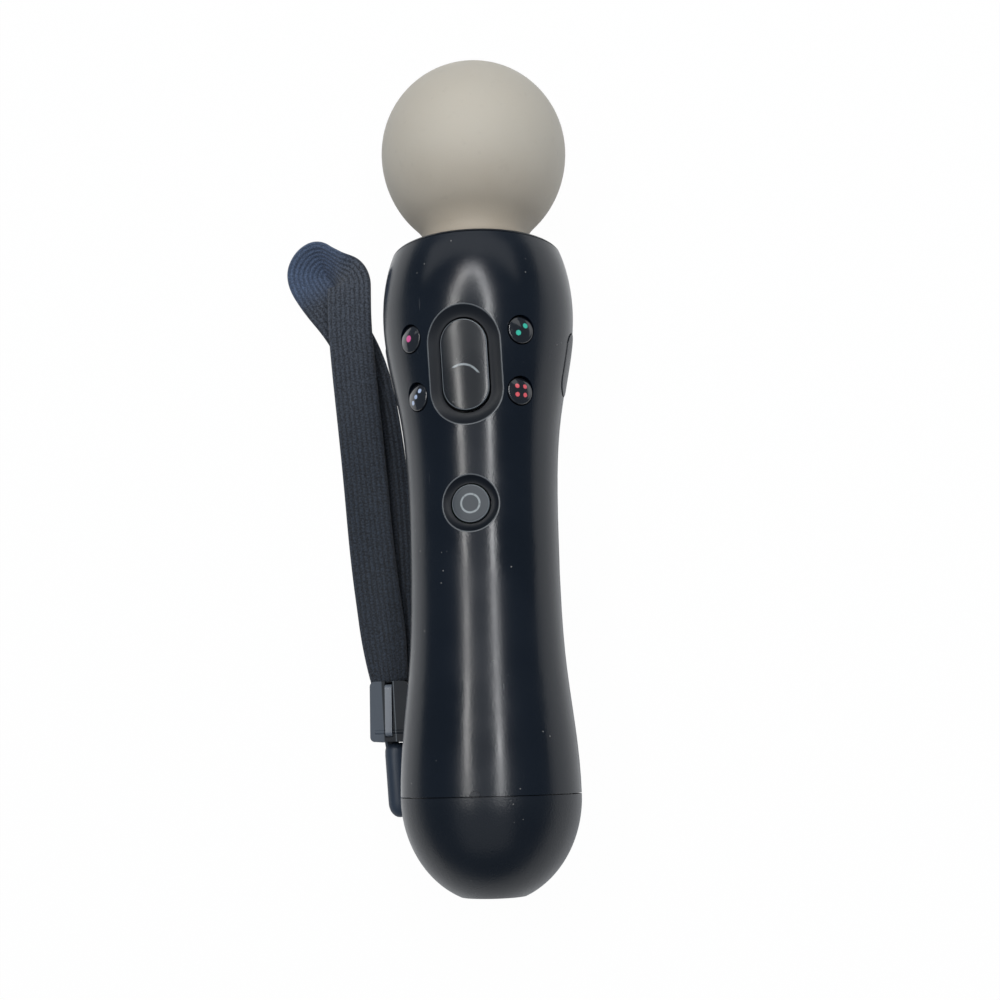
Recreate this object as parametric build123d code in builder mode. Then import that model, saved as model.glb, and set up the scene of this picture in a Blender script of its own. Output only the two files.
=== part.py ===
from build123d import *
from functools import cache
from math import cos, pi, radians, sin, sqrt, tan
import os

os.makedirs("parts", exist_ok=True)

# A motion controller wand lying on its back: buttons up (+Z), glow sphere at +Y, tail at -Y.
# The origin is on the surface below the middle of the length. Lengths are in millimetres.

# Overall sizes
overall_length = 200.0
sphere_radius = 22.8
shoulder_radius = 22.93
waist_radius = 17.5
belly_radius = 20.5
axis_height = 26.0
wall = 1.8
overrun = 40.0

# Clearances
seam_gap = 0.2
seat_gap = 0.15
pin_gap = 0.05
touch_gap = 0.3

# Stations along the wand, from the middle of its length
tail_end = -overall_length / 2
sphere_centre = overall_length / 2 - sphere_radius
seam_at = -78.0
belly_at = seam_at
waist_at = -19.5
shoulder_at = 37.4
parting_at = 49.6
mouth_at = 49.9
tail_depth = 23.6
parting_radius = 20.55
mouth_radius = 13.0
foot_depth = 24.2
foot_share = 0.707
ball_neck_radius = 12.6
neck_foot = 49.2

# How far the flanks have swelled between the waist and its two neighbours
lower_flank_share = 0.51
lower_swell_share = 0.235
upper_flank_share = 0.51
upper_swell_share = 0.31
parting_slope_shares = (-0.36, 0.93)
mouth_slope_shares = (-1.0, 0.0)

# Layers below the skin, as insets
dish_depth = 1.15
dish_backing = 1.4
flange_gap = 0.1
flange_thick = 0.8
stem_depth = 1.5
mat_thick = 1.1
flex_thick = 0.3
carrier_thick = 1.4
backing_inset = wall + dish_backing
flange_inset = backing_inset + flange_gap
mat_inset = flange_inset + flange_thick + stem_depth
flex_inset = mat_inset + mat_thick
carrier_inset = flex_inset + flex_thick

# Front buttons
button_clearance = 0.25
flange_reach = 0.9
move_flange_reach = 0.3
action_flange_reach = 0.4
move_width = 11.5
move_length = 21.4
move_dish_width = 18.2
move_dish_length = 28.6
move_at = 17.8
move_inset = 0.4
home_diameter = 9.25
home_dish_diameter = 13.8
home_at = -13.7
home_inset = 0.5
action_diameter = 6.3
action_places = {"one": (25.4, -36), "two": (25.6, 36), "three": (12.1, -38), "four": (11.9, 38)}
action_dome_radius = 11.0
action_proud = 0.3

# Side buttons
side_width = 7.0
side_length = 14.9
side_at = 21.4
side_proud = 0.2
side_flange_inset = wall + flange_gap
side_stem_depth = 1.4

# Status lamp and reset button
lamp_radius = 1.2
reset_at = -50.0
reset_radius = 1.1
reset_sunk = 0.4

# Case screws
boss_radius = 2.7
boss_places = ((12.3, -66.0), (13.4, 1.2))
screw_radius = 1.0
head_radius = 1.9
head_height = 1.3
head_seat = 9.0
screw_reach = 5.0

# Trigger on the rear
trigger_width = 16.6
trigger_gap = 0.4
trigger_top = 46.0
trigger_sunk = 0.5
trigger_lip_at = 17.0
lip_reach = axis_height
lip_round = 1.3
trigger_sheet = 2.6
trigger_edge = 2.0
trigger_hinge_at = 43.0
trigger_hinge_depth = 15.6
trigger_hinge_radius = 1.0
hub_radius = 2.4
ear_thick = 1.6
slot_below_lip = 3.0
trigger_bow = 1.3
skirt_thick = 2.4
skirt_depth = 17.4

# Trigger sensing
spring_half = 2.2
spring_width = 4.2
spring_thick = 0.4
spring_bend = 0.8
spring_fold_share = 0.45
spring_foot_share = 0.12
spring_at = 22.0
sensor_board_thick = 1.2
sensor_low = 16.0
sensor_high = 36.0
sensor_half = 7.5
sensor_pad_thick = 1.4
sensor_pad_at = 31.0
sensor_pad_size = 6.0

# Chassis across the case behind the trigger
chassis_low = 6.0
chassis_high = 44.0
chassis_z = -7.3
chassis_thick = 1.5
post_x = 12.2
post_thick = 1.4
post_top = 2.5
post_half = 5.0
side_switch_size = 4.6
side_switch_gap = 1.35

# Sphere, its base, the lamp board and the light guide
sphere_wall = 1.6
base_radius = 11.3
base_wall = 2.3
base_foot = 47.6
base_flange = 1.3
base_flange_thick = 1.0
spigot_wall = 2.6
spigot_length = 3.0
collar_floor_thick = 1.3
led_board_radius = 12.0
led_board_thick = 1.0
led_size = 5.0
led_height = 1.6
guide_taper = 1.3
guide_length = 10.0

# Tail cap, its sockets and the strap bar
cap_ring_wall = 1.3
cap_ring_reach = 3.5
cap_ring_root = 7.0
usb_width = 7.7
usb_height = 3.9
usb_z = 2.6
port_depth = 8.6
port_sunk = 0.3
port_sheet = 0.45
ext_width = 10.0
ext_height = 3.3
ext_z = -3.4
contact_x = 6.3
contact_width = 1.4
contact_height = 2.6
port_board_width = 24.0
port_board_height = 13.0
port_board_thick = 1.2
peg_radius = 1.4
peg_x = 9.6
peg_z = 4.6
strap_at = -87.0
strap_pocket_width = 8.6
strap_pocket_length = 6.0
strap_bar_radius = 1.0
strap_bar_depth = 16.4
strap_pocket_depth = 13.3
strap_floor_thick = 1.5

# Boards, battery and motor inside the grip
board_thick = 1.2
board_z = 8.2
board_half = 9.4
board_low = -72.0
board_high = -2.0
frame_z = 6.5
frame_thick = 1.2
board_screw_spots = ((-7.2, -69.0), (7.2, -69.0), (-7.2, -6.0), (7.2, -6.0))
board_screw_radius = 0.7
board_head_radius = 1.4
board_head_height = 0.9
board_peg_radius = 1.6
chip_height = 1.0
chips = {"processor": (-3.0, -40.0, 9.0), "radio": (4.0, -56.0, 6.0), "gyro": (0.0, -27.0, 4.0)}
home_pad_radius = 2.4
battery_half = 10.4
battery_low = -46.0
battery_high = -2.0
battery_z = (-7.2, 6.1)
battery_corner = 2.0
tray_wall = 1.2
tray_low = -52.0
plug_half = 3.6
plug_low = -56.0
plug_high = -51.0
plug_z = 3.8
lead_radius = 0.6
lead_half = 1.3
lead_z = 2.0
motor_radius = 5.5
motor_low = -68.0
motor_high = -55.0
motor_z = -3.0
motor_shaft_radius = 0.75
motor_shaft_reach = 6.0
weight_radius = 5.2
weight_length = 4.0
weight_gap = 0.8
cradle_half = 7.6
ribbon_half = 2.4
ribbon_thick = 0.2
ribbon_drop = 6.0
reset_flange_radius = 1.9
reset_stem = 1.2
reset_travel = 0.5
reset_switch_half = 2.2

# Wrist strap: cord, sleeve, lock and webbing
cord_radius = 0.8
sleeve_radius = 2.7
sleeve_bore = 1.9
sleeve_round = 1.0
lock_width = 9.6
lock_height = 7.4
lock_length = 14.6
lock_low = -65.0
lock_x = -28.0
lock_clear = 0.3
lock_round = 1.2
lock_mouth_width = 8.0
lock_mouth_height = 4.6
lock_mouth_depth = 9.0
neck_radius = 1.7
neck_length = 4.0
lever_width = 1.7
lever_height = 2.2
lever_length = 12.6
lever_proud = 0.7
lever_pin_radius = 0.6
webbing_width = 11.5
webbing_thick = 1.5

# Case planes
case_top = parting_at - seam_gap / 2
case_foot = seam_at + seam_gap / 2
cap_top = seam_at - seam_gap / 2
collar_foot = parting_at + seam_gap / 2
slot_low = trigger_lip_at - slot_below_lip
slot_high = trigger_top + trigger_gap
slot_width = trigger_width + 2 * trigger_gap
hinge_z = axis_height - trigger_hinge_depth

long_axis = Axis((0, 0, axis_height), (0, 1, 0))
mid_plane = Plane.XY.offset(axis_height)
screw_spots = [(side * x, y) for x, y in boss_places for side in (-1, 1)]


def between(low, high, share):
    """The value at a share of the way from low to high."""
    return low + (high - low) * share


@cache
def rounded(inset, low, high):
    """The wand's turned form, brought in by an inset, solid between two stations."""
    lower_flank = (
        between(waist_radius, belly_radius, lower_swell_share) - inset,
        between(waist_at, belly_at, lower_flank_share),
    )
    upper_flank = (
        between(waist_radius, shoulder_radius, upper_swell_share) - inset,
        between(waist_at, shoulder_at, upper_flank_share),
    )
    with BuildPart() as form:
        with BuildSketch(mid_plane):
            with BuildLine():
                side = Spline(
                    (belly_radius - inset, belly_at),
                    lower_flank,
                    (waist_radius - inset, waist_at),
                    upper_flank,
                    (shoulder_radius - inset, shoulder_at),
                    (parting_radius - inset, parting_at),
                    tangents=((0, 1), parting_slope_shares),
                )
                crown = Spline(
                    side @ 1,
                    (mouth_radius - inset, mouth_at),
                    tangents=(parting_slope_shares, mouth_slope_shares),
                )
                tail = EllipticalCenterArc(
                    (0, belly_at),
                    belly_radius - inset,
                    tail_depth - inset,
                    start_angle=270,
                    arc_size=90,
                )
                Line(crown @ 1, (0, mouth_at))
                Line((0, mouth_at), tail @ 0)
            make_face()
            with Locations((overrun / 2, (low + high) / 2)):
                Rectangle(overrun, high - low, mode=Mode.INTERSECT)
        revolve(axis=long_axis)
    return form.part


@cache
def radius_at(station):
    """The wand's outer radius at a station, read off its turned form."""
    thin = wall / 2
    return rounded(0, station - thin / 2, station + thin / 2).bounding_box().size.X / 2


def band(outer_inset, inner_inset, low, high):
    """A turned sheet that follows the wand between two insets and two stations."""
    with BuildPart() as form:
        add(rounded(outer_inset, low, high))
        add(rounded(inner_inset, low, high), mode=Mode.SUBTRACT)
    return form.part


def facing(station, angle):
    """A plane on the long axis at a station, looking out at an angle from the front."""
    turn = radians(angle)
    return Plane(
        origin=(0, station, axis_height),
        x_dir=(cos(turn), 0, -sin(turn)),
        z_dir=(sin(turn), 0, cos(turn)),
    )


def prism(plane, width, length=0.0):
    """An upright bar with round ends, from the long axis out past the skin."""
    with BuildPart() as form:
        with BuildSketch(plane):
            if length > width:
                SlotOverall(length, width, rotation=90)
            else:
                Circle(width / 2)
        extrude(amount=overrun)
    return form.part


def layer(plane, width, length, outer_inset, inner_inset):
    """The piece of an upright bar that lies between two insets of the skin."""
    reach = max(width, length)
    station = plane.origin.Y
    with BuildPart() as form:
        add(prism(plane, width, length))
        add(band(outer_inset, inner_inset, station - reach, station + reach), mode=Mode.INTERSECT)
    return form.part


def half(sign):
    """A block on the front (+1) or the rear (-1) side of the case's parting plane."""
    with BuildPart() as form:
        with Locations((0, 0, axis_height + sign * (overrun + seam_gap) / 2)):
            Box(2 * overrun, 2 * overall_length, overrun)
    return form.part


def boss(x, y, sign):
    """A screw boss from the parting plane to the shell, on the front or the rear side."""
    with BuildPart() as form:
        with BuildSketch(mid_plane):
            with Locations((x, y)):
                Circle(boss_radius)
        extrude(amount=sign * overrun)
        add(half(sign), mode=Mode.INTERSECT)
        add(rounded(wall / 2, case_foot, case_top), mode=Mode.INTERSECT)
    return form.part


def upright(x, y, radius, low, high):
    """A round bar along Z between two heights, counted from the long axis."""
    with BuildPart() as form:
        with BuildSketch(mid_plane.offset(low)):
            with Locations((x, y)):
                Circle(radius)
        extrude(amount=high - low)
    return form.part


def block(x, y, z, corner=0.0):
    """A box between pairs of values, with z counted from the long axis, its uprights rounded."""
    with BuildPart() as form:
        with BuildSketch(mid_plane.offset(z[0])):
            with Locations(((x[0] + x[1]) / 2, (y[0] + y[1]) / 2)):
                if corner > 0:
                    RectangleRounded(x[1] - x[0], y[1] - y[0], corner)
                else:
                    Rectangle(x[1] - x[0], y[1] - y[0])
        extrude(amount=z[1] - z[0])
    return form.part


# Front shell: half the case, with a dish round each of the two large buttons
with BuildPart() as front_shell:
    add(band(0, wall, case_foot, case_top))
    add(half(1), mode=Mode.INTERSECT)
    for x, y in screw_spots:
        add(boss(x, y, 1))
    pad_width = move_dish_width + 2 * wall
    pad_length = move_dish_length + 2 * wall
    add(layer(facing(move_at, 0), pad_width, pad_length, wall / 2, backing_inset))
    add(layer(facing(home_at, 0), home_dish_diameter + 2 * wall, 0, wall / 2, backing_inset))
    add(
        layer(facing(move_at, 0), move_dish_width, move_dish_length, -wall, dish_depth),
        mode=Mode.SUBTRACT,
    )
    add(layer(facing(home_at, 0), home_dish_diameter, 0, -wall, dish_depth), mode=Mode.SUBTRACT)
    move_hole = (move_width + 2 * button_clearance, move_length + 2 * button_clearance)
    add(prism(facing(move_at, 0), *move_hole), mode=Mode.SUBTRACT)
    add(prism(facing(home_at, 0), home_diameter + 2 * button_clearance), mode=Mode.SUBTRACT)
    for station, angle in action_places.values():
        hole = prism(facing(station, angle), action_diameter + 2 * button_clearance)
        add(hole, mode=Mode.SUBTRACT)
    for angle in (-90, 90):
        side_hole = (side_width + 2 * button_clearance, side_length + 2 * button_clearance)
        add(prism(facing(side_at, angle), *side_hole), mode=Mode.SUBTRACT)
    for x, y in screw_spots:
        pilot = upright(x, y, screw_radius + pin_gap, -wall, screw_reach + seat_gap)
        add(pilot, mode=Mode.SUBTRACT)
    add(upright(0, seam_at, lamp_radius + pin_gap, 0, overrun), mode=Mode.SUBTRACT)
front_shell.part.label = "front_shell"
export_step(front_shell.part, "parts/front_shell.step")

# Rear shell: the other half, with the trigger's slot, its two hinge ears and the screw wells
ear_low = trigger_hinge_at - hub_radius
ear_high = trigger_hinge_at + hub_radius
ear_x = slot_width / 2


def ear(side):
    """One of the two lugs inside the case that the trigger's pin runs through."""
    near, far = sorted((side * ear_x, side * (ear_x + ear_thick)))
    with BuildPart() as form:
        add(block((near, far), (ear_low, ear_high), (-overrun, hub_radius - trigger_hinge_depth)))
        add(rounded(wall / 2, case_foot, case_top), mode=Mode.INTERSECT)
    return form.part


with BuildPart() as rear_shell:
    add(band(0, wall, case_foot, case_top))
    add(half(-1), mode=Mode.INTERSECT)
    for x, y in screw_spots:
        add(boss(x, y, -1))
    add(ear(-1))
    add(ear(1))
    slot = block((-slot_width / 2, slot_width / 2), (slot_low, slot_high), (-overrun, 0), 2 * trigger_gap)
    add(slot, mode=Mode.SUBTRACT)
    for angle in (-90, 90):
        add(prism(facing(side_at, angle), *side_hole), mode=Mode.SUBTRACT)
    for x, y in screw_spots:
        add(upright(x, y, head_radius + pin_gap, -overrun, -head_seat), mode=Mode.SUBTRACT)
        add(upright(x, y, screw_radius + pin_gap, -overrun, wall), mode=Mode.SUBTRACT)
    add(upright(0, reset_at, reset_radius + pin_gap, -overrun, 0), mode=Mode.SUBTRACT)
    with BuildSketch(Plane.YZ.offset(-overrun)):
        with Locations((trigger_hinge_at, hinge_z)):
            Circle(trigger_hinge_radius + pin_gap / 2)
    extrude(amount=2 * overrun, mode=Mode.SUBTRACT)
rear_shell.part.label = "rear_shell"
export_step(rear_shell.part, "parts/rear_shell.step")



def ring(outer, inner, low, high):
    """A round ring about the long axis between two stations, or a disc where inner is nothing."""
    with BuildPart() as form:
        with BuildSketch(Plane((0, low, axis_height), x_dir=(1, 0, 0), z_dir=(0, 1, 0))):
            Circle(outer)
            if inner > 0:
                Circle(inner, mode=Mode.SUBTRACT)
        extrude(amount=high - low)
    return form.part


def crossbar(y, z, radius, low, high):
    """A round bar along X, with z counted from the long axis."""
    with BuildPart() as form:
        with BuildSketch(Plane.YZ.offset(low)):
            with Locations((y, axis_height + z)):
                Circle(radius)
        extrude(amount=high - low)
    return form.part


# Tail cap: the rounded end, with its sockets, the strap's pocket and bar, and a ring into the case
usb_hole = (usb_width / 2 + seat_gap, usb_height / 2 + seat_gap)
ext_hole = (ext_width / 2 + seat_gap, ext_height / 2 + seat_gap)
socket_y = (tail_end - wall, tail_end + 2 * wall)
pocket_x = (-strap_pocket_width / 2, strap_pocket_width / 2)
pocket_y = (strap_at - strap_pocket_length / 2, strap_at + strap_pocket_length / 2)
board_stand = tail_end + port_sunk + port_depth + seat_gap
with BuildPart() as strap_housing:
    add(
        block(
            (pocket_x[0] - wall, pocket_x[1] + wall),
            (pocket_y[0] - wall, pocket_y[1] + wall),
            (-overrun, strap_floor_thick - strap_pocket_depth),
        )
    )
    add(rounded(wall / 2, tail_end + wall / 2, cap_top), mode=Mode.INTERSECT)
with BuildPart() as cap_pegs:
    for x in (-peg_x, peg_x):
        for z in (-peg_z, peg_z):
            with BuildSketch(Plane((x, tail_end, axis_height + z), x_dir=(1, 0, 0), z_dir=(0, 1, 0))):
                Circle(peg_radius)
            extrude(amount=board_stand - tail_end)
    add(rounded(wall / 2, tail_end + wall / 2, cap_top), mode=Mode.INTERSECT)
cap_ring_outer = belly_radius - wall - seat_gap - seam_gap
with BuildPart() as tail_cap:
    add(rounded(0, tail_end, cap_top))
    add(rounded(wall, tail_end + wall, cap_top), mode=Mode.SUBTRACT)
    ring_root = cap_top - cap_ring_root
    add(ring(cap_ring_outer, cap_ring_outer - cap_ring_wall, ring_root, case_foot + cap_ring_reach))
    add(strap_housing.part)
    add(cap_pegs.part)
    add(
        block(pocket_x, pocket_y, (-overrun, -strap_pocket_depth), strap_bar_radius),
        mode=Mode.SUBTRACT,
    )
    with BuildSketch(Plane((0, pocket_y[0] - wall / 2, axis_height - strap_bar_depth), z_dir=(0, 1, 0))):
        Circle(strap_bar_radius)
    extrude(amount=strap_pocket_length + wall)
    for half_size, z in ((usb_hole, usb_z), (ext_hole, ext_z)):
        socket = block((-half_size[0], half_size[0]), socket_y, (z - half_size[1], z + half_size[1]))
        add(socket, mode=Mode.SUBTRACT)
    for x in (-contact_x, contact_x):
        contact_hole = block(
            (x - contact_width / 2 - pin_gap, x + contact_width / 2 + pin_gap),
            socket_y,
            (-contact_height / 2 - pin_gap, contact_height / 2 + pin_gap),
        )
        add(contact_hole, mode=Mode.SUBTRACT)
tail_cap.part.label = "tail_cap"
export_step(tail_cap.part, "parts/tail_cap.step")

# Sockets and contacts in the tail, on their board
port_low = tail_end + port_sunk
port_high = port_low + port_depth


def socket_shell(width, height, z):
    """A plain metal socket: a folded sheet box, closed at the back, with a tongue inside."""
    with BuildPart() as form:
        add(block((-width / 2, width / 2), (port_low, port_high), (z - height / 2, z + height / 2)))
        mouth_x = width / 2 - port_sheet
        mouth_z = height / 2 - port_sheet
        add(
            block(
                (-mouth_x, mouth_x),
                (port_low - wall, port_high - wall),
                (z - mouth_z, z + mouth_z),
            ),
            mode=Mode.SUBTRACT,
        )
        tongue_x = mouth_x - 2 * port_sheet
        add(
            block(
                (-tongue_x, tongue_x),
                (port_low + 2 * port_sheet, port_high - wall / 2),
                (z - port_sheet / 2, z + port_sheet),
            )
        )
    return form.part


with BuildPart() as usb_port:
    add(socket_shell(usb_width, usb_height, usb_z))
usb_port.part.label = "usb_port"
export_step(usb_port.part, "parts/usb_port.step")

with BuildPart() as extension_port:
    add(socket_shell(ext_width, ext_height, ext_z))
extension_port.part.label = "extension_port"
export_step(extension_port.part, "parts/extension_port.step")

with BuildPart() as charge_contacts:
    for x in (-contact_x, contact_x):
        add(
            block(
                (x - contact_width / 2, x + contact_width / 2),
                (port_low, port_high),
                (-contact_height / 2, contact_height / 2),
            )
        )
charge_contacts.part.label = "charge_contacts"
export_step(charge_contacts.part, "parts/charge_contacts.step")

with BuildPart() as port_board:
    half_board = (port_board_width / 2, port_board_height / 2)
    board_y = (board_stand, board_stand + port_board_thick)
    add(block((-half_board[0], half_board[0]), board_y, (-half_board[1], half_board[1])))
port_board.part.label = "port_board"
export_step(port_board.part, "parts/port_board.step")

# Top collar: the ring that closes the case round the sphere's foot
base_bore = base_radius + seat_gap
spigot_outer = parting_radius - wall - seat_gap - seam_gap
with BuildPart() as top_collar:
    add(rounded(0, collar_foot, mouth_at + wall))
    add(ring(spigot_outer, 0, parting_at - spigot_length, mouth_at))
    add(
        ring(spigot_outer - spigot_wall, 0, parting_at - 2 * spigot_length, collar_foot - collar_floor_thick),
        mode=Mode.SUBTRACT,
    )
    add(ring(base_bore, 0, parting_at - spigot_length, sphere_centre), mode=Mode.SUBTRACT)
    add(ring(ball_neck_radius + seat_gap, 0, neck_foot - seat_gap, sphere_centre), mode=Mode.SUBTRACT)
top_collar.part.label = "top_collar"
export_step(top_collar.part, "parts/top_collar.step")

# Glow sphere: a soft hollow ball, open at its foot
def ball(inset):
    """The ball's turned form, brought in by an inset: round above, drawn out at its foot."""
    reach = sphere_radius - inset
    depth = foot_depth - inset
    with BuildPart() as form:
        with BuildSketch(mid_plane):
            with BuildLine():
                crown = CenterArc((0, sphere_centre), reach, start_angle=0, arc_size=90)
                foot = Spline(
                    (0, sphere_centre - depth),
                    (reach * foot_share, sphere_centre - depth * foot_share),
                    (reach, sphere_centre),
                    tangents=((1, 0), (0, 1)),
                )
                Line(crown @ 1, foot @ 0)
            make_face()
        revolve(axis=long_axis)
    return form.part


with BuildPart() as glow_sphere:
    add(ball(0))
    add(ring(ball_neck_radius, 0, neck_foot, sphere_centre - foot_depth + sphere_radius / 4))
    add(ball(sphere_wall), mode=Mode.SUBTRACT)
    add(ring(base_bore, 0, neck_foot - wall, sphere_centre), mode=Mode.SUBTRACT)
glow_sphere.part.label = "glow_sphere"
export_step(glow_sphere.part, "parts/glow_sphere.step")

# Sphere base: the tube and flange that hold the ball on the collar
flange_radius = base_radius + base_flange
inner_sphere = sphere_radius - sphere_wall
inner_foot = foot_depth - sphere_wall
flange_foot = sphere_centre - inner_foot * sqrt(1 - (flange_radius / inner_sphere) ** 2) + seat_gap
with BuildPart() as sphere_base:
    add(ring(base_radius, base_radius - base_wall, base_foot, flange_foot + base_flange_thick))
    add(ring(flange_radius, base_radius - base_wall, flange_foot, flange_foot + base_flange_thick))
sphere_base.part.label = "sphere_base"
export_step(sphere_base.part, "parts/sphere_base.step")

led_board_top = base_foot - seat_gap
with BuildPart() as led_board:
    add(ring(led_board_radius, 0, led_board_top - led_board_thick, led_board_top))
led_board.part.label = "led_board"
export_step(led_board.part, "parts/led_board.step")

with BuildPart() as colour_led:
    half_led = led_size / 2
    led_top = led_board_top + led_height
    add(block((-half_led, half_led), (led_board_top, led_top), (-half_led, half_led)))
colour_led.part.label = "colour_led"
export_step(colour_led.part, "parts/colour_led.step")

guide_foot = led_top + touch_gap
guide_radius = base_radius - base_wall - seat_gap
with BuildPart() as light_guide:
    with BuildSketch(Plane((0, guide_foot, axis_height), x_dir=(1, 0, 0), z_dir=(0, 1, 0))):
        Circle(guide_radius)
    with BuildSketch(
        Plane((0, guide_foot + guide_length, axis_height), x_dir=(1, 0, 0), z_dir=(0, 1, 0))
    ):
        Circle(guide_radius - guide_taper)
    loft()
light_guide.part.label = "light_guide"
export_step(light_guide.part, "parts/light_guide.step")

# Move button: the large oval key, with a flange below the shell
move_plane = facing(move_at, 0)
with BuildPart() as move_button:
    add(layer(move_plane, move_width, move_length, move_inset, mat_inset - seat_gap))
    lip = 2 * move_flange_reach
    add(
        layer(
            move_plane, move_width + lip, move_length + lip, flange_inset, flange_inset + flange_thick
        )
    )
move_button.part.label = "move_button"
export_step(move_button.part, "parts/move_button.step")

# Home button and the rubber pad under it
home_plane = facing(home_at, 0)
with BuildPart() as home_button:
    add(layer(home_plane, home_diameter, 0, home_inset, mat_inset - flange_thick))
    add(
        layer(
            home_plane, home_diameter + 2 * flange_reach, 0, flange_inset, flange_inset + flange_thick
        )
    )
home_button.part.label = "home_button"
export_step(home_button.part, "parts/home_button.step")

board_top = board_z + board_thick
with BuildPart() as home_pad:
    pad_top = radius_at(home_at) - mat_inset + flange_thick - touch_gap - seat_gap
    add(upright(0, home_at, home_pad_radius, board_top, pad_top))
home_pad.part.label = "home_pad"
export_step(home_pad.part, "parts/home_pad.step")


def action_button(station, angle):
    """A round clear-capped key with a domed top, a flange and a foot on the rubber mat."""
    plane = facing(station, angle)
    dome_centre = radius_at(station) + action_proud - action_dome_radius
    with BuildPart() as form:
        add(layer(plane, action_diameter, 0, -wall, mat_inset - seat_gap))
        with Locations(plane.offset(dome_centre)):
            Sphere(action_dome_radius, mode=Mode.INTERSECT)
        flange = action_diameter + 2 * action_flange_reach
        add(layer(plane, flange, 0, flange_inset, flange_inset + flange_thick))
    return form.part


for name, (station, angle) in action_places.items():
    with BuildPart() as action_key:
        add(action_button(station, angle))
    action_key.part.label = f"action_button_{name}"
    export_step(action_key.part, f"parts/action_button_{name}.step")

# Rubber mat, contact sheet and carrier under the front buttons
mat_x = 13.6
mat_low = 5.4
mat_high = 31.0
mat_block = block((-mat_x, mat_x), (mat_low, mat_high), (axis_height / 4, overrun))
with BuildPart() as button_mat:
    add(band(mat_inset, flex_inset, mat_low, mat_high))
    add(mat_block, mode=Mode.INTERSECT)
button_mat.part.label = "button_mat"
export_step(button_mat.part, "parts/button_mat.step")

with BuildPart() as button_contacts:
    add(band(flex_inset, carrier_inset, mat_low, mat_high))
    add(mat_block, mode=Mode.INTERSECT)
button_contacts.part.label = "button_contacts"
export_step(button_contacts.part, "parts/button_contacts.step")

carrier_foot = carrier_inset + carrier_thick
carrier_rim = backing_inset + seat_gap
with BuildPart() as button_carrier:
    add(band(carrier_inset, carrier_foot, mat_low, mat_high))
    add(band(carrier_rim, carrier_foot, mat_low - carrier_thick, mat_low))
    add(band(carrier_rim, carrier_foot, mat_high, mat_high + carrier_thick))
    add(
        block((-mat_x, mat_x), (mat_low - wall, mat_high + wall), (axis_height / 4, overrun)),
        mode=Mode.INTERSECT,
    )
button_carrier.part.label = "button_carrier"
export_step(button_carrier.part, "parts/button_carrier.step")

# Start and select: one key on each flank
for name, angle in (("start", 90), ("select", -90)):
    side_plane = facing(side_at, angle)
    key_reach = side_flange_inset + flange_thick
    with BuildPart() as side_button:
        add(layer(side_plane, side_width, side_length, -side_proud, key_reach + side_stem_depth))
        lip = 2 * flange_reach
        add(layer(side_plane, side_width + lip, side_length + lip, side_flange_inset, key_reach))
    side_button.part.label = f"{name}_button"
    export_step(side_button.part, f"parts/{name}_button.step")

# Status lamp: a small half-round window at the seam
with BuildPart() as status_lamp:
    add(upright(0, seam_at, lamp_radius, 0, overrun))
    add(band(0, wall + seat_gap, case_foot + pin_gap, waist_at), mode=Mode.INTERSECT)
status_lamp.part.label = "status_lamp"
export_step(status_lamp.part, "parts/status_lamp.step")

# Reset button: a sunk pin on the rear, with its switch
reset_skin = radius_at(reset_at)
reset_inner = reset_skin - wall
reset_foot = reset_inner - flange_gap - flange_thick - reset_stem
with BuildPart() as reset_button:
    add(upright(0, reset_at, reset_radius, reset_sunk - reset_skin, -reset_foot))
    flange_low = flange_gap * 2 - reset_inner
    add(upright(0, reset_at, reset_flange_radius, flange_low, flange_low + flange_thick))
reset_button.part.label = "reset_button"
export_step(reset_button.part, "parts/reset_button.step")

tray_foot = battery_z[0] - seat_gap - tray_wall

# Trigger: a bowed sheet with a lip, a skirt and a hub, seen from the side
trigger_z0 = -radius_at(trigger_top) + trigger_sunk
outer_mid = ((trigger_top + trigger_lip_at) / 2, (trigger_z0 - lip_reach) / 2 + trigger_bow)
skirt_y = trigger_lip_at + skirt_thick


def profile_point(y, z):
    """A point of a side profile, with z counted from the long axis."""
    return (y, axis_height + z)


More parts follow.
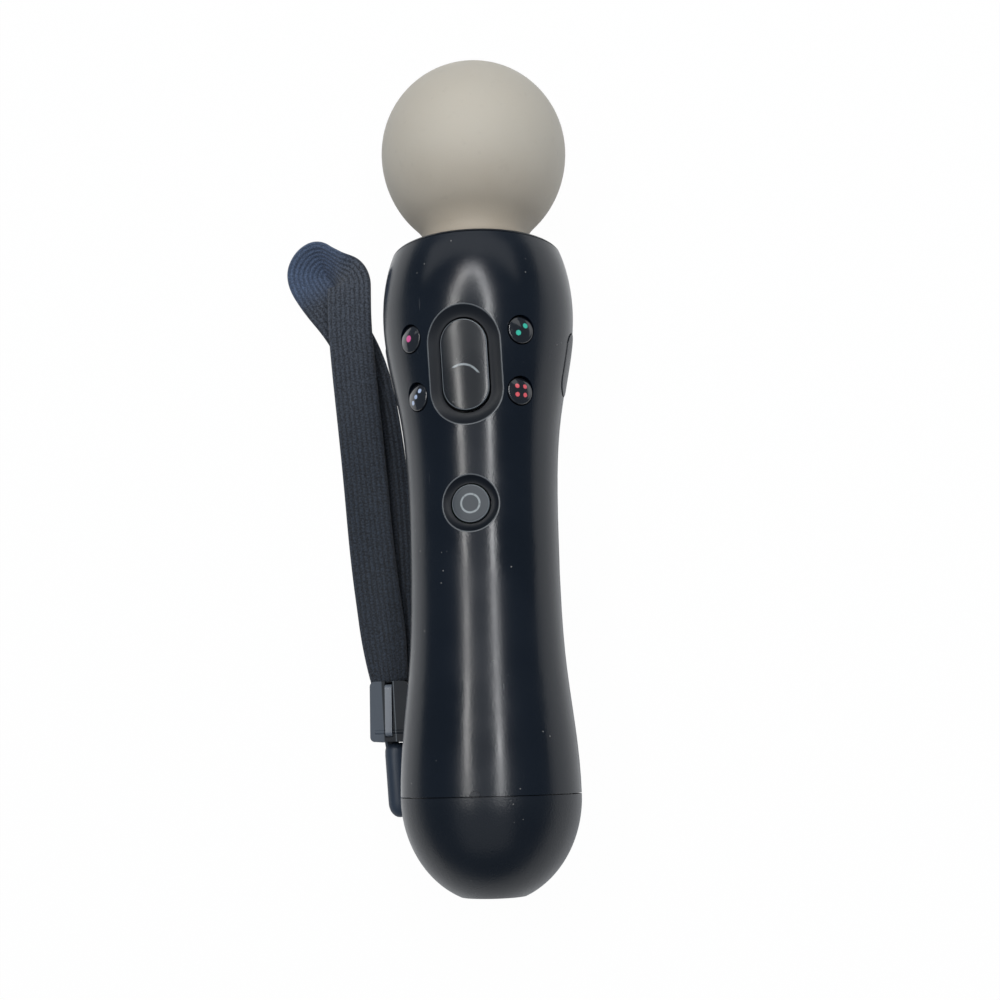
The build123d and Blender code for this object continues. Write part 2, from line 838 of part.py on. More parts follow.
with BuildPart() as trigger:
    with BuildSketch(Plane.YZ.offset(-trigger_width / 2)):
        with BuildLine():
            top_outer = profile_point(trigger_top, trigger_z0)
            lip_bottom = profile_point(trigger_lip_at + lip_round, -lip_reach)
            lip_inset = lip_round * (1 - cos(radians(45)))
            lip_turn = profile_point(trigger_lip_at + lip_inset, lip_inset - lip_reach)
            lip_side = profile_point(trigger_lip_at, lip_round - lip_reach)
            skirt_top = profile_point(trigger_lip_at, -skirt_depth)
            skirt_inner = profile_point(skirt_y, -skirt_depth)
            sheet_foot = profile_point(skirt_y, trigger_sheet - lip_reach)
            hub_foot = profile_point(trigger_hinge_at - hub_radius, trigger_z0 + trigger_sheet)
            sheet_mid = profile_point(
                (skirt_y + trigger_hinge_at - hub_radius) / 2,
                (trigger_z0 - lip_reach) / 2 + trigger_sheet + trigger_bow,
            )
            hub_left = profile_point(trigger_hinge_at - hub_radius, -trigger_hinge_depth)
            hub_top = profile_point(trigger_hinge_at, hub_radius - trigger_hinge_depth)
            hub_right = profile_point(trigger_hinge_at + hub_radius, -trigger_hinge_depth)
            top_inner = profile_point(trigger_top, trigger_z0 + trigger_sheet / 2)
            ThreePointArc(top_outer, profile_point(*outer_mid), lip_bottom)
            ThreePointArc(lip_bottom, lip_turn, lip_side)
            Line(lip_side, skirt_top)
            Line(skirt_top, skirt_inner)
            Line(skirt_inner, sheet_foot)
            ThreePointArc(sheet_foot, sheet_mid, hub_foot)
            Line(hub_foot, hub_left)
            ThreePointArc(hub_left, hub_top, hub_right)
            Line(hub_right, top_inner)
            Line(top_inner, top_outer)
        make_face()
    extrude(amount=trigger_width)
    bowed_face = trigger.faces().filter_by(GeomType.CYLINDER).sort_by(SortBy.AREA)[-1]
    chamfer(bowed_face.edges().filter_by(Axis.X, reverse=True), trigger_edge)
    add(
        crossbar(
            trigger_hinge_at,
            -trigger_hinge_depth,
            trigger_hinge_radius + pin_gap,
            -trigger_width,
            trigger_width,
        ),
        mode=Mode.SUBTRACT,
    )
trigger.part.label = "trigger"
export_step(trigger.part, "parts/trigger.step")

pin_reach = ear_x + ear_thick
with BuildPart() as trigger_pin:
    add(
        crossbar(
            trigger_hinge_at, -trigger_hinge_depth, trigger_hinge_radius, -pin_reach, pin_reach
        )
    )
trigger_pin.part.label = "trigger_pin"
export_step(trigger_pin.part, "parts/trigger_pin.step")

# Chassis: a plate across the case behind the trigger, with posts for the flank switches
chassis_top = chassis_z + chassis_thick
with BuildPart() as chassis:
    add(block((-overrun, overrun), (chassis_low, chassis_high), (chassis_z, chassis_top)))
    add(rounded(wall + seat_gap, chassis_low, chassis_high), mode=Mode.INTERSECT)
    for side in (-1, 1):
        near, far = sorted((side * post_x, side * (post_x + post_thick)))
        post_y = (side_at - post_half, side_at + post_half)
        add(block((near, far), post_y, (chassis_z, post_top)))
chassis.part.label = "chassis"
export_step(chassis.part, "parts/chassis.step")

side_foot = radius_at(side_at) - side_flange_inset - flange_thick - side_stem_depth
for name, side in (("start", 1), ("select", -1)):
    with BuildPart() as side_switch:
        near, far = sorted((side * (post_x + post_thick), side * (side_foot - side_switch_gap)))
        half_switch = side_switch_size / 2
        add(
            block(
                (near, far),
                (side_at - half_switch, side_at + half_switch),
                (-half_switch, half_switch),
            )
        )
    side_switch.part.label = f"{name}_switch"
    export_step(side_switch.part, f"parts/{name}_switch.step")

sensor_top = chassis_z - seat_gap
sensor_foot = sensor_top - sensor_board_thick
with BuildPart() as trigger_board:
    add(
        block(
            (-sensor_half, sensor_half), (sensor_low, sensor_high), (sensor_foot, sensor_top)
        )
    )
trigger_board.part.label = "trigger_board"
export_step(trigger_board.part, "parts/trigger_board.step")

with BuildPart() as trigger_pad:
    half_pad = sensor_pad_size / 2
    add(
        block(
            (-half_pad, half_pad),
            (sensor_pad_at - half_pad, sensor_pad_at + half_pad),
            (sensor_foot - sensor_pad_thick, sensor_foot),
            half_pad / 2,
        )
    )
trigger_pad.part.label = "trigger_pad"
export_step(trigger_pad.part, "parts/trigger_pad.step")

# Trigger spring: an open coil between the trigger's sheet and its board
spring_share = (trigger_top - spring_at) / (trigger_top - trigger_lip_at)
sheet_at_spring = between(trigger_z0, -lip_reach, spring_share) + trigger_sheet + trigger_bow
spring_low = axis_height + sheet_at_spring + spring_thick + touch_gap
spring_high = axis_height + sensor_foot - spring_thick
spring_points = [
    (spring_at - spring_half, spring_high),
    (spring_at + spring_half, spring_high),
    (spring_at - spring_half, between(spring_high, spring_low, spring_fold_share)),
    (spring_at + spring_half, between(spring_low, spring_high, spring_foot_share)),
    (spring_at, spring_low),
]
with BuildPart() as trigger_spring:
    with BuildSketch(Plane.YZ.offset(-spring_width / 2)):
        with BuildLine():
            FilletPolyline(*spring_points, radius=spring_bend)
        trace(line_width=spring_thick)
    extrude(amount=spring_width)
trigger_spring.part.label = "trigger_spring"
export_step(trigger_spring.part, "parts/trigger_spring.step")

# Grip internals: frame, main board with its chips and screws
frame_top = frame_z + frame_thick
with BuildPart() as inner_frame:
    add(block((-overrun, overrun), (board_low, board_high), (frame_z, frame_top)))
    add(rounded(wall + seat_gap, board_low, board_high), mode=Mode.INTERSECT)
    for x, y in board_screw_spots:
        add(upright(x, y, board_peg_radius, frame_top, board_z - pin_gap))
    for x, y in screw_spots:
        add(upright(x, y, boss_radius + seat_gap, 0, overrun), mode=Mode.SUBTRACT)
    notch_x = plug_half + touch_gap
    notch = block((-notch_x, notch_x), (plug_low - touch_gap, plug_high + wall), (0, frame_top))
    add(notch, mode=Mode.SUBTRACT)
    for x, y in board_screw_spots:
        add(upright(x, y, board_screw_radius + pin_gap, 0, overrun), mode=Mode.SUBTRACT)
inner_frame.part.label = "inner_frame"
export_step(inner_frame.part, "parts/inner_frame.step")

with BuildPart() as main_board:
    add(block((-board_half, board_half), (board_low, board_high), (board_z, board_top)))
    for x, y in board_screw_spots:
        add(upright(x, y, board_screw_radius + pin_gap, 0, overrun), mode=Mode.SUBTRACT)
main_board.part.label = "main_board"
export_step(main_board.part, "parts/main_board.step")

with BuildPart() as board_chips:
    for x, y, size in chips.values():
        chip_x = (x - size / 2, x + size / 2)
        add(block(chip_x, (y - size / 2, y + size / 2), (board_top, board_top + chip_height)))
board_chips.part.label = "board_chips"
export_step(board_chips.part, "parts/board_chips.step")

with BuildPart() as board_screws:
    for x, y in board_screw_spots:
        add(upright(x, y, board_screw_radius, frame_z, board_top))
        add(upright(x, y, board_head_radius, board_top, board_top + board_head_height))
board_screws.part.label = "board_screws"
export_step(board_screws.part, "parts/board_screws.step")

with BuildPart() as case_screws:
    for x, y in screw_spots:
        add(upright(x, y, screw_radius, -head_seat, screw_reach))
        add(upright(x, y, head_radius, -head_seat - head_height, -head_seat))
case_screws.part.label = "case_screws"
export_step(case_screws.part, "parts/case_screws.step")

# Battery in its tray, with its plug and lead
with BuildPart() as battery:
    add(block((-battery_half, battery_half), (battery_low, battery_high), battery_z, battery_corner))
battery.part.label = "battery"
export_step(battery.part, "parts/battery.step")

tray_inner = battery_half + seat_gap
tray_high = battery_high - seat_gap
with BuildPart() as battery_tray:
    tray_outer = tray_inner + tray_wall
    add(block((-tray_outer, tray_outer), (tray_low, tray_high), (tray_foot, frame_z - seat_gap)))
    add(
        block(
            (-tray_inner, tray_inner),
            (tray_low - wall, battery_high + wall),
            (battery_z[0] - seat_gap, frame_z),
        ),
        mode=Mode.SUBTRACT,
    )
    add(
        block((-overrun, overrun), (tray_low - wall, battery_low), (battery_z[0] - seat_gap, frame_z)),
        mode=Mode.SUBTRACT,
    )
battery_tray.part.label = "battery_tray"
export_step(battery_tray.part, "parts/battery_tray.step")

with BuildPart() as battery_plug:
    plug_y = (plug_low, plug_high)
    add(block((-plug_half, plug_half), plug_y, (plug_z, board_z)))
battery_plug.part.label = "battery_plug"
export_step(battery_plug.part, "parts/battery_plug.step")

with BuildPart() as battery_lead:
    lead_rise = (plug_z + board_z) / 2 - pin_gap
    for x in (-lead_half, lead_half):
        with BuildLine() as lead_line:
            FilletPolyline(
                (x, battery_low, axis_height + lead_z),
                (x, (battery_low + plug_high) / 2, axis_height + lead_z),
                (x, (battery_low + plug_high) / 2, axis_height + lead_rise),
                (x, plug_high, axis_height + lead_rise),
                radius=2 * lead_radius,
            )
        with BuildSketch(Plane(lead_line.line @ 0, z_dir=lead_line.line % 0)):
            Circle(lead_radius)
        sweep(path=lead_line.line)
battery_lead.part.label = "battery_lead"
export_step(battery_lead.part, "parts/battery_lead.step")

# Rumble motor, its shaft, its eccentric weight and its cradle
motor_mid = Plane((0, motor_high, axis_height + motor_z), x_dir=(1, 0, 0), z_dir=(0, -1, 0))
motor_length = motor_high - motor_low
with BuildPart() as rumble_motor:
    with BuildSketch(motor_mid):
        Circle(motor_radius)
        Circle(motor_shaft_radius + pin_gap, mode=Mode.SUBTRACT)
    extrude(amount=motor_length)
rumble_motor.part.label = "rumble_motor"
export_step(rumble_motor.part, "parts/rumble_motor.step")

with BuildPart() as motor_shaft:
    with BuildSketch(motor_mid):
        Circle(motor_shaft_radius)
    extrude(amount=motor_length + motor_shaft_reach)
motor_shaft.part.label = "motor_shaft"
export_step(motor_shaft.part, "parts/motor_shaft.step")

with BuildPart() as eccentric_weight:
    with BuildSketch(motor_mid.offset(motor_length + weight_gap)):
        with BuildLine():
            CenterArc((0, 0), weight_radius, 180, 180)
            Line((weight_radius, 0), (-weight_radius, 0))
        make_face()
        Circle(2 * motor_shaft_radius)
        Circle(motor_shaft_radius + pin_gap / 2, mode=Mode.SUBTRACT)
    extrude(amount=weight_length)
eccentric_weight.part.label = "eccentric_weight"
export_step(eccentric_weight.part, "parts/eccentric_weight.step")

with BuildPart() as motor_cradle:
    cradle_y = (motor_low + wall, motor_high - wall)
    add(block((-cradle_half, cradle_half), cradle_y, (-overrun, motor_z)))
    add(rounded(wall + seat_gap, *cradle_y), mode=Mode.INTERSECT)
    with BuildSketch(motor_mid):
        Circle(motor_radius + seat_gap)
    extrude(amount=motor_length, mode=Mode.SUBTRACT)
motor_cradle.part.label = "motor_cradle"
export_step(motor_cradle.part, "parts/motor_cradle.step")

with BuildPart() as reset_switch:
    switch_y = (reset_at - reset_switch_half, reset_at + reset_switch_half)
    add(
        block(
            (-reset_switch_half, reset_switch_half),
            switch_y,
            (-reset_foot + reset_travel + flange_gap, tray_foot),
        )
    )
reset_switch.part.label = "reset_switch"
export_step(reset_switch.part, "parts/reset_switch.step")

# Ribbon from the lamp board to the main board
with BuildPart() as led_ribbon:
    ribbon_back = led_board_top - led_board_thick
    ribbon_z = board_top + pin_gap
    add(
        block(
            (-ribbon_half, ribbon_half),
            (board_high - ribbon_drop / 2, ribbon_back),
            (ribbon_z, ribbon_z + ribbon_thick),
        )
    )
    add(
        block(
            (-ribbon_half, ribbon_half),
            (ribbon_back - ribbon_thick, ribbon_back),
            (ribbon_z - ribbon_drop, ribbon_z),
        )
    )
led_ribbon.part.label = "led_ribbon"
export_step(led_ribbon.part, "parts/led_ribbon.step")

# Wrist strap: the sleeve, the thin cord round the tail's bar, the lock and the webbing loop
sleeve_top = Vector(-28.2, -67.2, 2.75)
sleeve_foot = Vector(-25.6, -82.2, 2.75)
sleeve_way = (sleeve_foot - sleeve_top).normalized()
sleeve_side = Vector(-sleeve_way.Y, sleeve_way.X, 0)
strand_shift = cord_radius + pin_gap
strand_start = sleeve_top + sleeve_way * (neck_length - lock_clear)
strand_end = sleeve_foot + sleeve_way * sleeve_bore
cord_points = [
    strand_start - sleeve_side * strand_shift,
    strand_end - sleeve_side * strand_shift,
    (-18.5, -90.2, 1.4),
    (-8.0, -90.0, 0.9),
    (2.1, -88.6, 1.0),
    (2.1, -87.9, 11.7),
    (-2.1, -86.1, 11.7),
    (-2.1, -85.6, 1.2),
    (-10.0, -86.2, 0.9),
    (-18.0, -86.6, 1.4),
    strand_end + sleeve_side * strand_shift,
    strand_start + sleeve_side * strand_shift,
]
webbing_points = [
    (-27.8, -50.6, 2.9),
    (-27.8, -32.0, 1.5),
    (-29.4, 0.0, 1.3),
    (-33.0, 28.0, 1.3),
    (-41.6, 42.0, 1.7),
    (-49.6, 50.0, 3.0),
    (-49.8, 62.6, 5.2),
    (-37.4, 62.2, 6.6),
    (-36.8, 49.6, 8.2),
    (-37.4, 34.0, 5.2),
    (-34.4, 4.0, 4.0),
    (-32.6, -19.0, 4.0),
    (-30.0, -38.0, 4.6),
    (-28.4, -50.6, 5.0),
]
webbing_guide = [(x, y, z + axis_height) for x, y, z in webbing_points]
corner_share = 0.45


def corner_radii(points):
    """One radius for each corner of a route: as large as its two runs allow."""
    spots = [Vector(*point) if isinstance(point, tuple) else point for point in points]
    radii = []
    for before, spot, after in zip(spots, spots[1:], spots[2:]):
        turn = (spot - before).get_angle(after - spot)
        run = min((spot - before).length, (after - spot).length)
        radii.append(corner_share * run / tan(radians(turn) / 2))
    return radii


print("strap cord radii", [round(radius, 1) for radius in corner_radii(cord_points)])
print("webbing radii", [round(radius, 1) for radius in corner_radii(webbing_points)])

with BuildPart() as strap_cord:
    with BuildLine() as cord_line:
        FilletPolyline(*cord_points, radius=corner_radii(cord_points))
    with BuildSketch(Plane(cord_line.line @ 0, z_dir=cord_line.line % 0)):
        Circle(cord_radius)
    sweep(path=cord_line.line)
strap_cord.part.label = "strap_cord"
export_step(strap_cord.part, "parts/strap_cord.step")
cord_volume = cord_line.wire().length * pi * cord_radius**2
print("cord", round(cord_line.wire().length, 1), strap_cord.part.volume / cord_volume)

sleeve_plane = Plane(sleeve_top, z_dir=sleeve_way)
with BuildPart() as strap_sleeve:
    with BuildSketch(sleeve_plane):
        Circle(sleeve_radius)
    extrude(amount=(sleeve_foot - sleeve_top).length)
    chamfer(strap_sleeve.edges().filter_by(GeomType.CIRCLE), sleeve_round / 2)
    with BuildSketch(sleeve_plane):
        Circle(sleeve_bore)
    extrude(amount=(sleeve_foot - sleeve_top).length, mode=Mode.SUBTRACT)
strap_sleeve.part.label = "strap_sleeve"
export_step(strap_sleeve.part, "parts/strap_sleeve.step")

# Strap lock: a small clamp with a mouth for the webbing, a slotted top and a neck for the cord
lock_y = (lock_low, lock_low + lock_length)
lock_top = lock_clear + lock_height - axis_height
lock_foot = lock_clear - axis_height
lever_low = lock_low + lock_round
lever_pin_y = lever_low + lever_height / 2
lever_z = lock_top + lever_proud - lever_height
slot_half = lever_width / 2 + seat_gap
with BuildPart() as lock_body:
    add(
        block(
            (lock_x - lock_width / 2, lock_x + lock_width / 2),
            lock_y,
            (lock_foot, lock_top),
            lock_round,
        )
    )
    add(
        block(
            (lock_x - lock_mouth_width / 2, lock_x + lock_mouth_width / 2),
            (lock_y[1] - lock_mouth_depth, lock_y[1] + wall),
            (lock_foot + lock_round, lock_foot + lock_round + lock_mouth_height),
        ),
        mode=Mode.SUBTRACT,
    )
    add(
        block(
            (lock_x - slot_half, lock_x + slot_half),
            (lever_low - seat_gap, lock_y[1] + wall),
            (lever_z - seat_gap, lock_top + wall),
        ),
        mode=Mode.SUBTRACT,
    )
    add(
        crossbar(
            lever_pin_y,
            lever_z + lever_height / 2,
            lever_pin_radius + pin_gap / 2,
            lock_x - lock_width / 2 + lock_round,
            lock_x + lock_width / 2 - lock_round,
        ),
        mode=Mode.SUBTRACT,
    )
    with BuildSketch(Plane(sleeve_top - sleeve_way * neck_length, z_dir=sleeve_way)):
        Circle(neck_radius)
    extrude(amount=2 * neck_length - 2 * lock_clear)
lock_body.part.label = "lock_body"
export_step(lock_body.part, "parts/lock_body.step")

with BuildPart() as lock_lever:
    add(
        block(
            (lock_x - lever_width / 2, lock_x + lever_width / 2),
            (lever_low, lever_low + lever_length),
            (lever_z, lever_z + lever_height),
        )
    )
    fillet(lock_lever.edges().filter_by(Axis.X), lever_height / 2 - pin_gap)
    add(
        crossbar(
            lever_pin_y,
            lever_z + lever_height / 2,
            lever_pin_radius + pin_gap,
            lock_x - lock_width,
            lock_x + lock_width,
        ),
        mode=Mode.SUBTRACT,
    )
lock_lever.part.label = "lock_lever"
export_step(lock_lever.part, "parts/lock_lever.step")

with BuildPart() as lever_pin:
    add(
        crossbar(
            lever_pin_y,
            lever_z + lever_height / 2,
            lever_pin_radius,
            lock_x - lock_width / 2 + lock_round,
            lock_x + lock_width / 2 - lock_round,
        )
    )
lever_pin.part.label = "lever_pin"
export_step(lever_pin.part, "parts/lever_pin.step")

with BuildPart() as wrist_webbing:
    with BuildLine() as webbing_line:
        FilletPolyline(*webbing_points, radius=corner_radii(webbing_points))
    with BuildLine() as guide_line:
        FilletPolyline(*webbing_guide, radius=corner_radii(webbing_guide))
    with BuildSketch(
        Plane(webbing_line.line @ 0, x_dir=(1, 0, 0), z_dir=webbing_line.line % 0)
    ):
        Rectangle(webbing_width, webbing_thick)
    sweep(path=webbing_line.line, binormal=guide_line.wire())
wrist_webbing.part.label = "wrist_webbing"
export_step(wrist_webbing.part, "parts/wrist_webbing.step")
webbing_volume = webbing_line.wire().length * webbing_width * webbing_thick
print("webbing", round(webbing_line.wire().length, 1), wrist_webbing.part.volume / webbing_volume)
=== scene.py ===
from math import cos, pi, radians, sin

import bmesh
import bpy
from mathutils import Matrix, Vector
from mathutils.bvhtree import BVHTree


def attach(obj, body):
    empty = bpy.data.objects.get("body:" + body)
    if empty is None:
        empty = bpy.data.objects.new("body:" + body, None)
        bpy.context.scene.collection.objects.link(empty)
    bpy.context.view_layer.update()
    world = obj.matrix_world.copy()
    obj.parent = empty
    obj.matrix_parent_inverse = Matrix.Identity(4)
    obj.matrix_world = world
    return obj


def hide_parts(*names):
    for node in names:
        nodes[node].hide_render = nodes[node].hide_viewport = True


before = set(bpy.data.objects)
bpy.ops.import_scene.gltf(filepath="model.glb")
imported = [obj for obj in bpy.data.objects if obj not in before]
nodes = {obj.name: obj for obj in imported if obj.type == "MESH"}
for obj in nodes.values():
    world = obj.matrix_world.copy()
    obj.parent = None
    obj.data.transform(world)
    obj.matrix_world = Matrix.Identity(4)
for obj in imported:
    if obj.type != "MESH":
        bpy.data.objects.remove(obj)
scene = bpy.context.scene


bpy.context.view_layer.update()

# Sizes, in metres
AXIS_HEIGHT = 0.026
BALL_STATION = 0.0772
BALL_RADIUS = 0.0228
BALL_FOOT = 0.0242
NECK_RADIUS = 0.0126
NECK_FOOT = 0.0493
MOVE_STATION = 0.0178
HOME_STATION = -0.0137
KEY_MARK_HEIGHT = 0.04
ACTION_KEY_REACH = 0.0205
WEBBING_WIDTH = 0.0115
WEBBING_THICK = 0.0013
GATHER_LENGTH = 0.016
GATHER_SHARE = 0.79
STITCH_LENGTH = 0.00085
CORD_DIAMETER = 0.0016
SLEEVE_TOP = Vector((-0.0277, -0.0653, 0.00275))
SLEEVE_FOOT = Vector((-0.0266, -0.0831, 0.00275))
SLEEVE_RADIUS = 0.0027
MERGE_DISTANCE = 0.000002

# Counts
RIBS = 9
CORD_STEPS = 14
WEBBING_STEPS = 26

# Camera, at the place the photograph was taken from
camera_right = Vector((0.9840, -0.0273, -0.1759))
camera_up = Vector((0.0629, 0.9778, 0.2000))
camera_away = camera_right.cross(camera_up).normalized()
camera_place = Vector((0.05794, -0.07235, 0.36143))
camera_data = bpy.data.cameras.new("camera")
camera_data.sensor_width = 36
camera_data.lens = 52.7
camera_data.shift_x = 0.0181
camera_data.shift_y = -0.0413
camera_data.clip_start = 0.01
camera_data.clip_end = 50
camera = bpy.data.objects.new("camera", camera_data)
scene.collection.objects.link(camera)
camera_turn = Matrix((camera_right, camera_up, camera_away)).transposed().to_4x4()
camera.matrix_world = Matrix.Translation(camera_place) @ camera_turn
scene.camera = camera
scene.view_settings.view_transform = "Standard"


# Materials
class Value:
    """A shader socket that takes part in Python sums."""

    def __init__(self, finish, socket):
        self.finish = finish
        self.socket = socket

    def __add__(self, other):
        return self.finish.math("ADD", self, other)

    def __radd__(self, other):
        return self.finish.math("ADD", other, self)

    def __sub__(self, other):
        return self.finish.math("SUBTRACT", self, other)

    def __mul__(self, other):
        return self.finish.math("MULTIPLY", self, other)


class Finish:
    """One procedural material on a Principled shader."""

    def __init__(self, name, colour, roughness, **constants):
        self.material = bpy.data.materials.new(name)
        self.material.use_nodes = True
        self.material.diffuse_color = (*colour, 1)
        self.tree = self.material.node_tree
        self.shader = next(n for n in self.tree.nodes if n.type == "BSDF_PRINCIPLED")
        self.fix("Base Color", (*colour, 1))
        self.fix("Roughness", roughness)
        for socket, constant in constants.items():
            self.fix(socket.replace("_", " ").title(), constant)
        self.spot = self.node("ShaderNodeTexCoord", output="Object")

    def fix(self, socket, constant):
        """Set one of the main shader's sockets to a constant."""
        self.shader.inputs[socket].default_value = constant

    def node(self, kind, settings=None, output=0, **inputs):
        """Any node, from its settings and the values or links of its sockets."""
        made = self.tree.nodes.new(kind)
        for setting, choice in (settings or {}).items():
            setattr(made, setting, choice)
        for key, value in inputs.items():
            socket = made.inputs[int(key[1:])] if key[0] == "_" else made.inputs[key]
            if isinstance(value, Value):
                self.tree.links.new(value.socket, socket)
            else:
                socket.default_value = value
        return Value(self, made.outputs[output])

    def math(self, operation, *terms):
        """A Math node on numbers and values."""
        inputs = {f"_{place}": term for place, term in enumerate(terms)}
        return self.node("ShaderNodeMath", {"operation": operation}, **inputs)

    def share(self, value, low, high, to_low=0.0, to_high=1.0):
        """A smooth step of a value from low to high."""
        settings = {"interpolation_type": "SMOOTHSTEP", "clamp": True}
        return self.node(
            "ShaderNodeMapRange",
            settings,
            Value=value,
            **{"From Min": low, "From Max": high, "To Min": to_low, "To Max": to_high},
        )

    def shade(self, factor, first, second):
        """A colour from one to another by a factor."""
        first, second = (
            (*colour, 1) if isinstance(colour, tuple) else colour for colour in (first, second)
        )
        inputs = {"_0": factor, "_6": first, "_7": second}
        return self.node("ShaderNodeMix", {"data_type": "RGBA"}, output=2, **inputs)

    def stretched(self, scale, turn=(0, 0, 0)):
        """The place on the piece, turned and scaled for a texture."""
        return self.node("ShaderNodeMapping", Vector=self.spot, Scale=scale, Rotation=turn)

    def noise(self, scale, detail=3.0, rough=0.5, at=None):
        """Soft noise, with its scale in lumps per metre."""
        return self.node(
            "ShaderNodeTexNoise",
            Vector=at or self.spot,
            Scale=scale,
            Detail=detail,
            Roughness=rough,
        )

    def cells(self, scale, feature="F1", at=None):
        """Cell noise, with its scale in cells per metre."""
        return self.node(
            "ShaderNodeTexVoronoi",
            {"feature": feature},
            output="Distance",
            Vector=at or self.spot,
            Scale=scale,
        )

    def along(self, direction, origin=(0, 0, 0)):
        """How far the place is along a direction from an origin."""
        away = self.node(
            "ShaderNodeVectorMath", {"operation": "SUBTRACT"}, _0=self.spot, _1=origin
        )
        return self.node(
            "ShaderNodeVectorMath",
            {"operation": "DOT_PRODUCT"},
            output="Value",
            _0=away,
            _1=direction,
        )

    def gap(self, first, second):
        """The hypotenuse of two sides at a right angle."""
        return self.math("SQRT", first * first + second * second)

    def feed(self, socket, value):
        """Link a value to one of the main shader's sockets."""
        self.tree.links.new(value.socket, self.shader.inputs[socket])

    def fed(self, socket):
        """The value that one of the main shader's sockets is linked to."""
        return Value(self, self.shader.inputs[socket].links[0].from_socket)

    def raise_by(self, height, distance):
        """Bump from a height, with its distance in metres."""
        self.feed(
            "Normal", self.node("ShaderNodeBump", Height=height, Distance=distance, Strength=1.0)
        )


def darker(colour, by):
    """A colour times a number."""
    return tuple(part * by for part in colour)


def moulded(name, colour, roughness, bead=0.00002, wear=0.5, dust=0.0):
    """Moulded plastic: a beaded skin, faint handling scratches, polish and dust."""
    made = Finish(name, colour, roughness)
    grain = made.cells(2600, "SMOOTH_F1")
    cloud = made.noise(42, 4)
    rubbed = made.noise(1, 2, at=made.stretched((820, 60, 820), (0.1, 0.05, 0.3)))
    scratch = made.share(rubbed, 0.71, 0.74) * made.share(cloud, 0.5, 0.62) * wear
    specks = made.share(made.cells(430), 0.085, 0.05)
    speck = specks * made.share(made.noise(95), 0.56, 0.62) * dust
    tint = made.shade(made.share(cloud, 0.3, 0.7), darker(colour, 0.9), darker(colour, 1.12))
    tint = made.shade(scratch * 0.5, tint, tuple(part + 0.05 for part in colour))
    tint = made.shade(speck * 0.8, tint, (0.3, 0.29, 0.27))
    made.feed("Base Color", tint)
    patch = made.share(cloud, 0.32, 0.68, -0.05, 0.05)
    made.feed("Roughness", roughness + patch + scratch * 0.2 + speck * 0.3)
    made.raise_by(grain - scratch * 0.6, bead)
    return made


def plain_rubber(name, colour, roughness=0.62):
    """Soft rubber or silicone: a dull, slightly mottled skin."""
    made = Finish(name, colour, roughness)
    fine = made.noise(3600, 2)
    cloud = made.noise(70, 3)
    made.feed("Base Color", made.shade(cloud, darker(colour, 0.82), darker(colour, 1.18)))
    made.feed("Roughness", made.share(cloud, 0.3, 0.7, roughness - 0.06, roughness + 0.06))
    made.raise_by(fine, 0.00003)
    return made


def metal(name, colour, roughness, lines=(60, 60, 4200)):
    """Drawn or stamped metal with fine lines and a few dull patches."""
    made = Finish(name, colour, roughness, metallic=1.0)
    brushed = made.noise(1, 3, at=made.stretched(lines))
    cloud = made.noise(160, 3)
    made.feed("Base Color", made.shade(cloud, darker(colour, 0.8), colour))
    made.feed("Roughness", made.share(brushed, 0.3, 0.7, roughness - 0.08, roughness + 0.1))
    made.raise_by(brushed, 0.00001)
    return made


def circuit(name, mask, copper):
    """A circuit board: dark lacquer with raised tracks and tinned pads."""
    made = Finish(name, mask, 0.38)
    lanes = made.cells(210, "DISTANCE_TO_EDGE", at=made.stretched((1, 1.7, 1)))
    track = made.share(lanes, 0.05, 0.03)
    pad = made.share(made.cells(300), 0.16, 0.13)
    tint = made.shade(track * 0.5, mask, darker(mask, 2.2))
    made.feed("Base Color", made.shade(pad, tint, copper))
    made.feed("Roughness", made.share(pad, 0, 1, 0.38, 0.3))
    made.raise_by(track + pad, 0.00004)
    return made


SHELL = (0.0030, 0.0060, 0.0115)
shell_finish = moulded("shell_black", SHELL, 0.22, bead=0.000012, wear=0.7, dust=0.9)
cap_finish = moulded("tail_black", darker(SHELL, 0.92), 0.3, bead=0.00002, wear=0.3, dust=0.6)
collar_finish = moulded("collar_black", darker(SHELL, 1.1), 0.26, wear=0.4)
key_finish = moulded("key_black", darker(SHELL, 0.95), 0.3, bead=0.000006, wear=0.5)
side_key_finish = moulded("side_key_black", SHELL, 0.33, bead=0.00001, wear=0.5)
trigger_finish = moulded("trigger_black", SHELL, 0.3, bead=0.000012, wear=0.7)


def lock_skin():
    """The lock's plastic: its side toward the wand is painted dark as the wand's shadow, with a
    painted highlight line along one edge.
    """
    made = moulded("lock_black", (0.08, 0.096, 0.119), 0.45, bead=0.00002, wear=0.8)
    made.fix("Specular IOR Level", 0.2)
    lock_middle = (-0.028, -0.058, 0)
    toward_wand = (1, 0.045, 0)
    shade_from, shade_full, highlight_line = -0.00165, -0.00135, 0.00145
    # Painted light: the wand's shadow over the lock's near side, and a thin highlight line along
    # one edge.
    over = made.along(toward_wand, lock_middle)
    painted_shade = made.share(over, shade_from, shade_full)
    edge = made.share(made.math("ABSOLUTE", over - highlight_line), 0.00018, 0.00008)
    # The painted shadow's colour, then the painted highlight's.
    tint = made.shade(painted_shade * 0.85, made.fed("Base Color"), (0.004, 0.0055, 0.008))
    made.feed("Base Color", made.shade(edge * 0.8, tint, (0.16, 0.18, 0.2)))
    return made


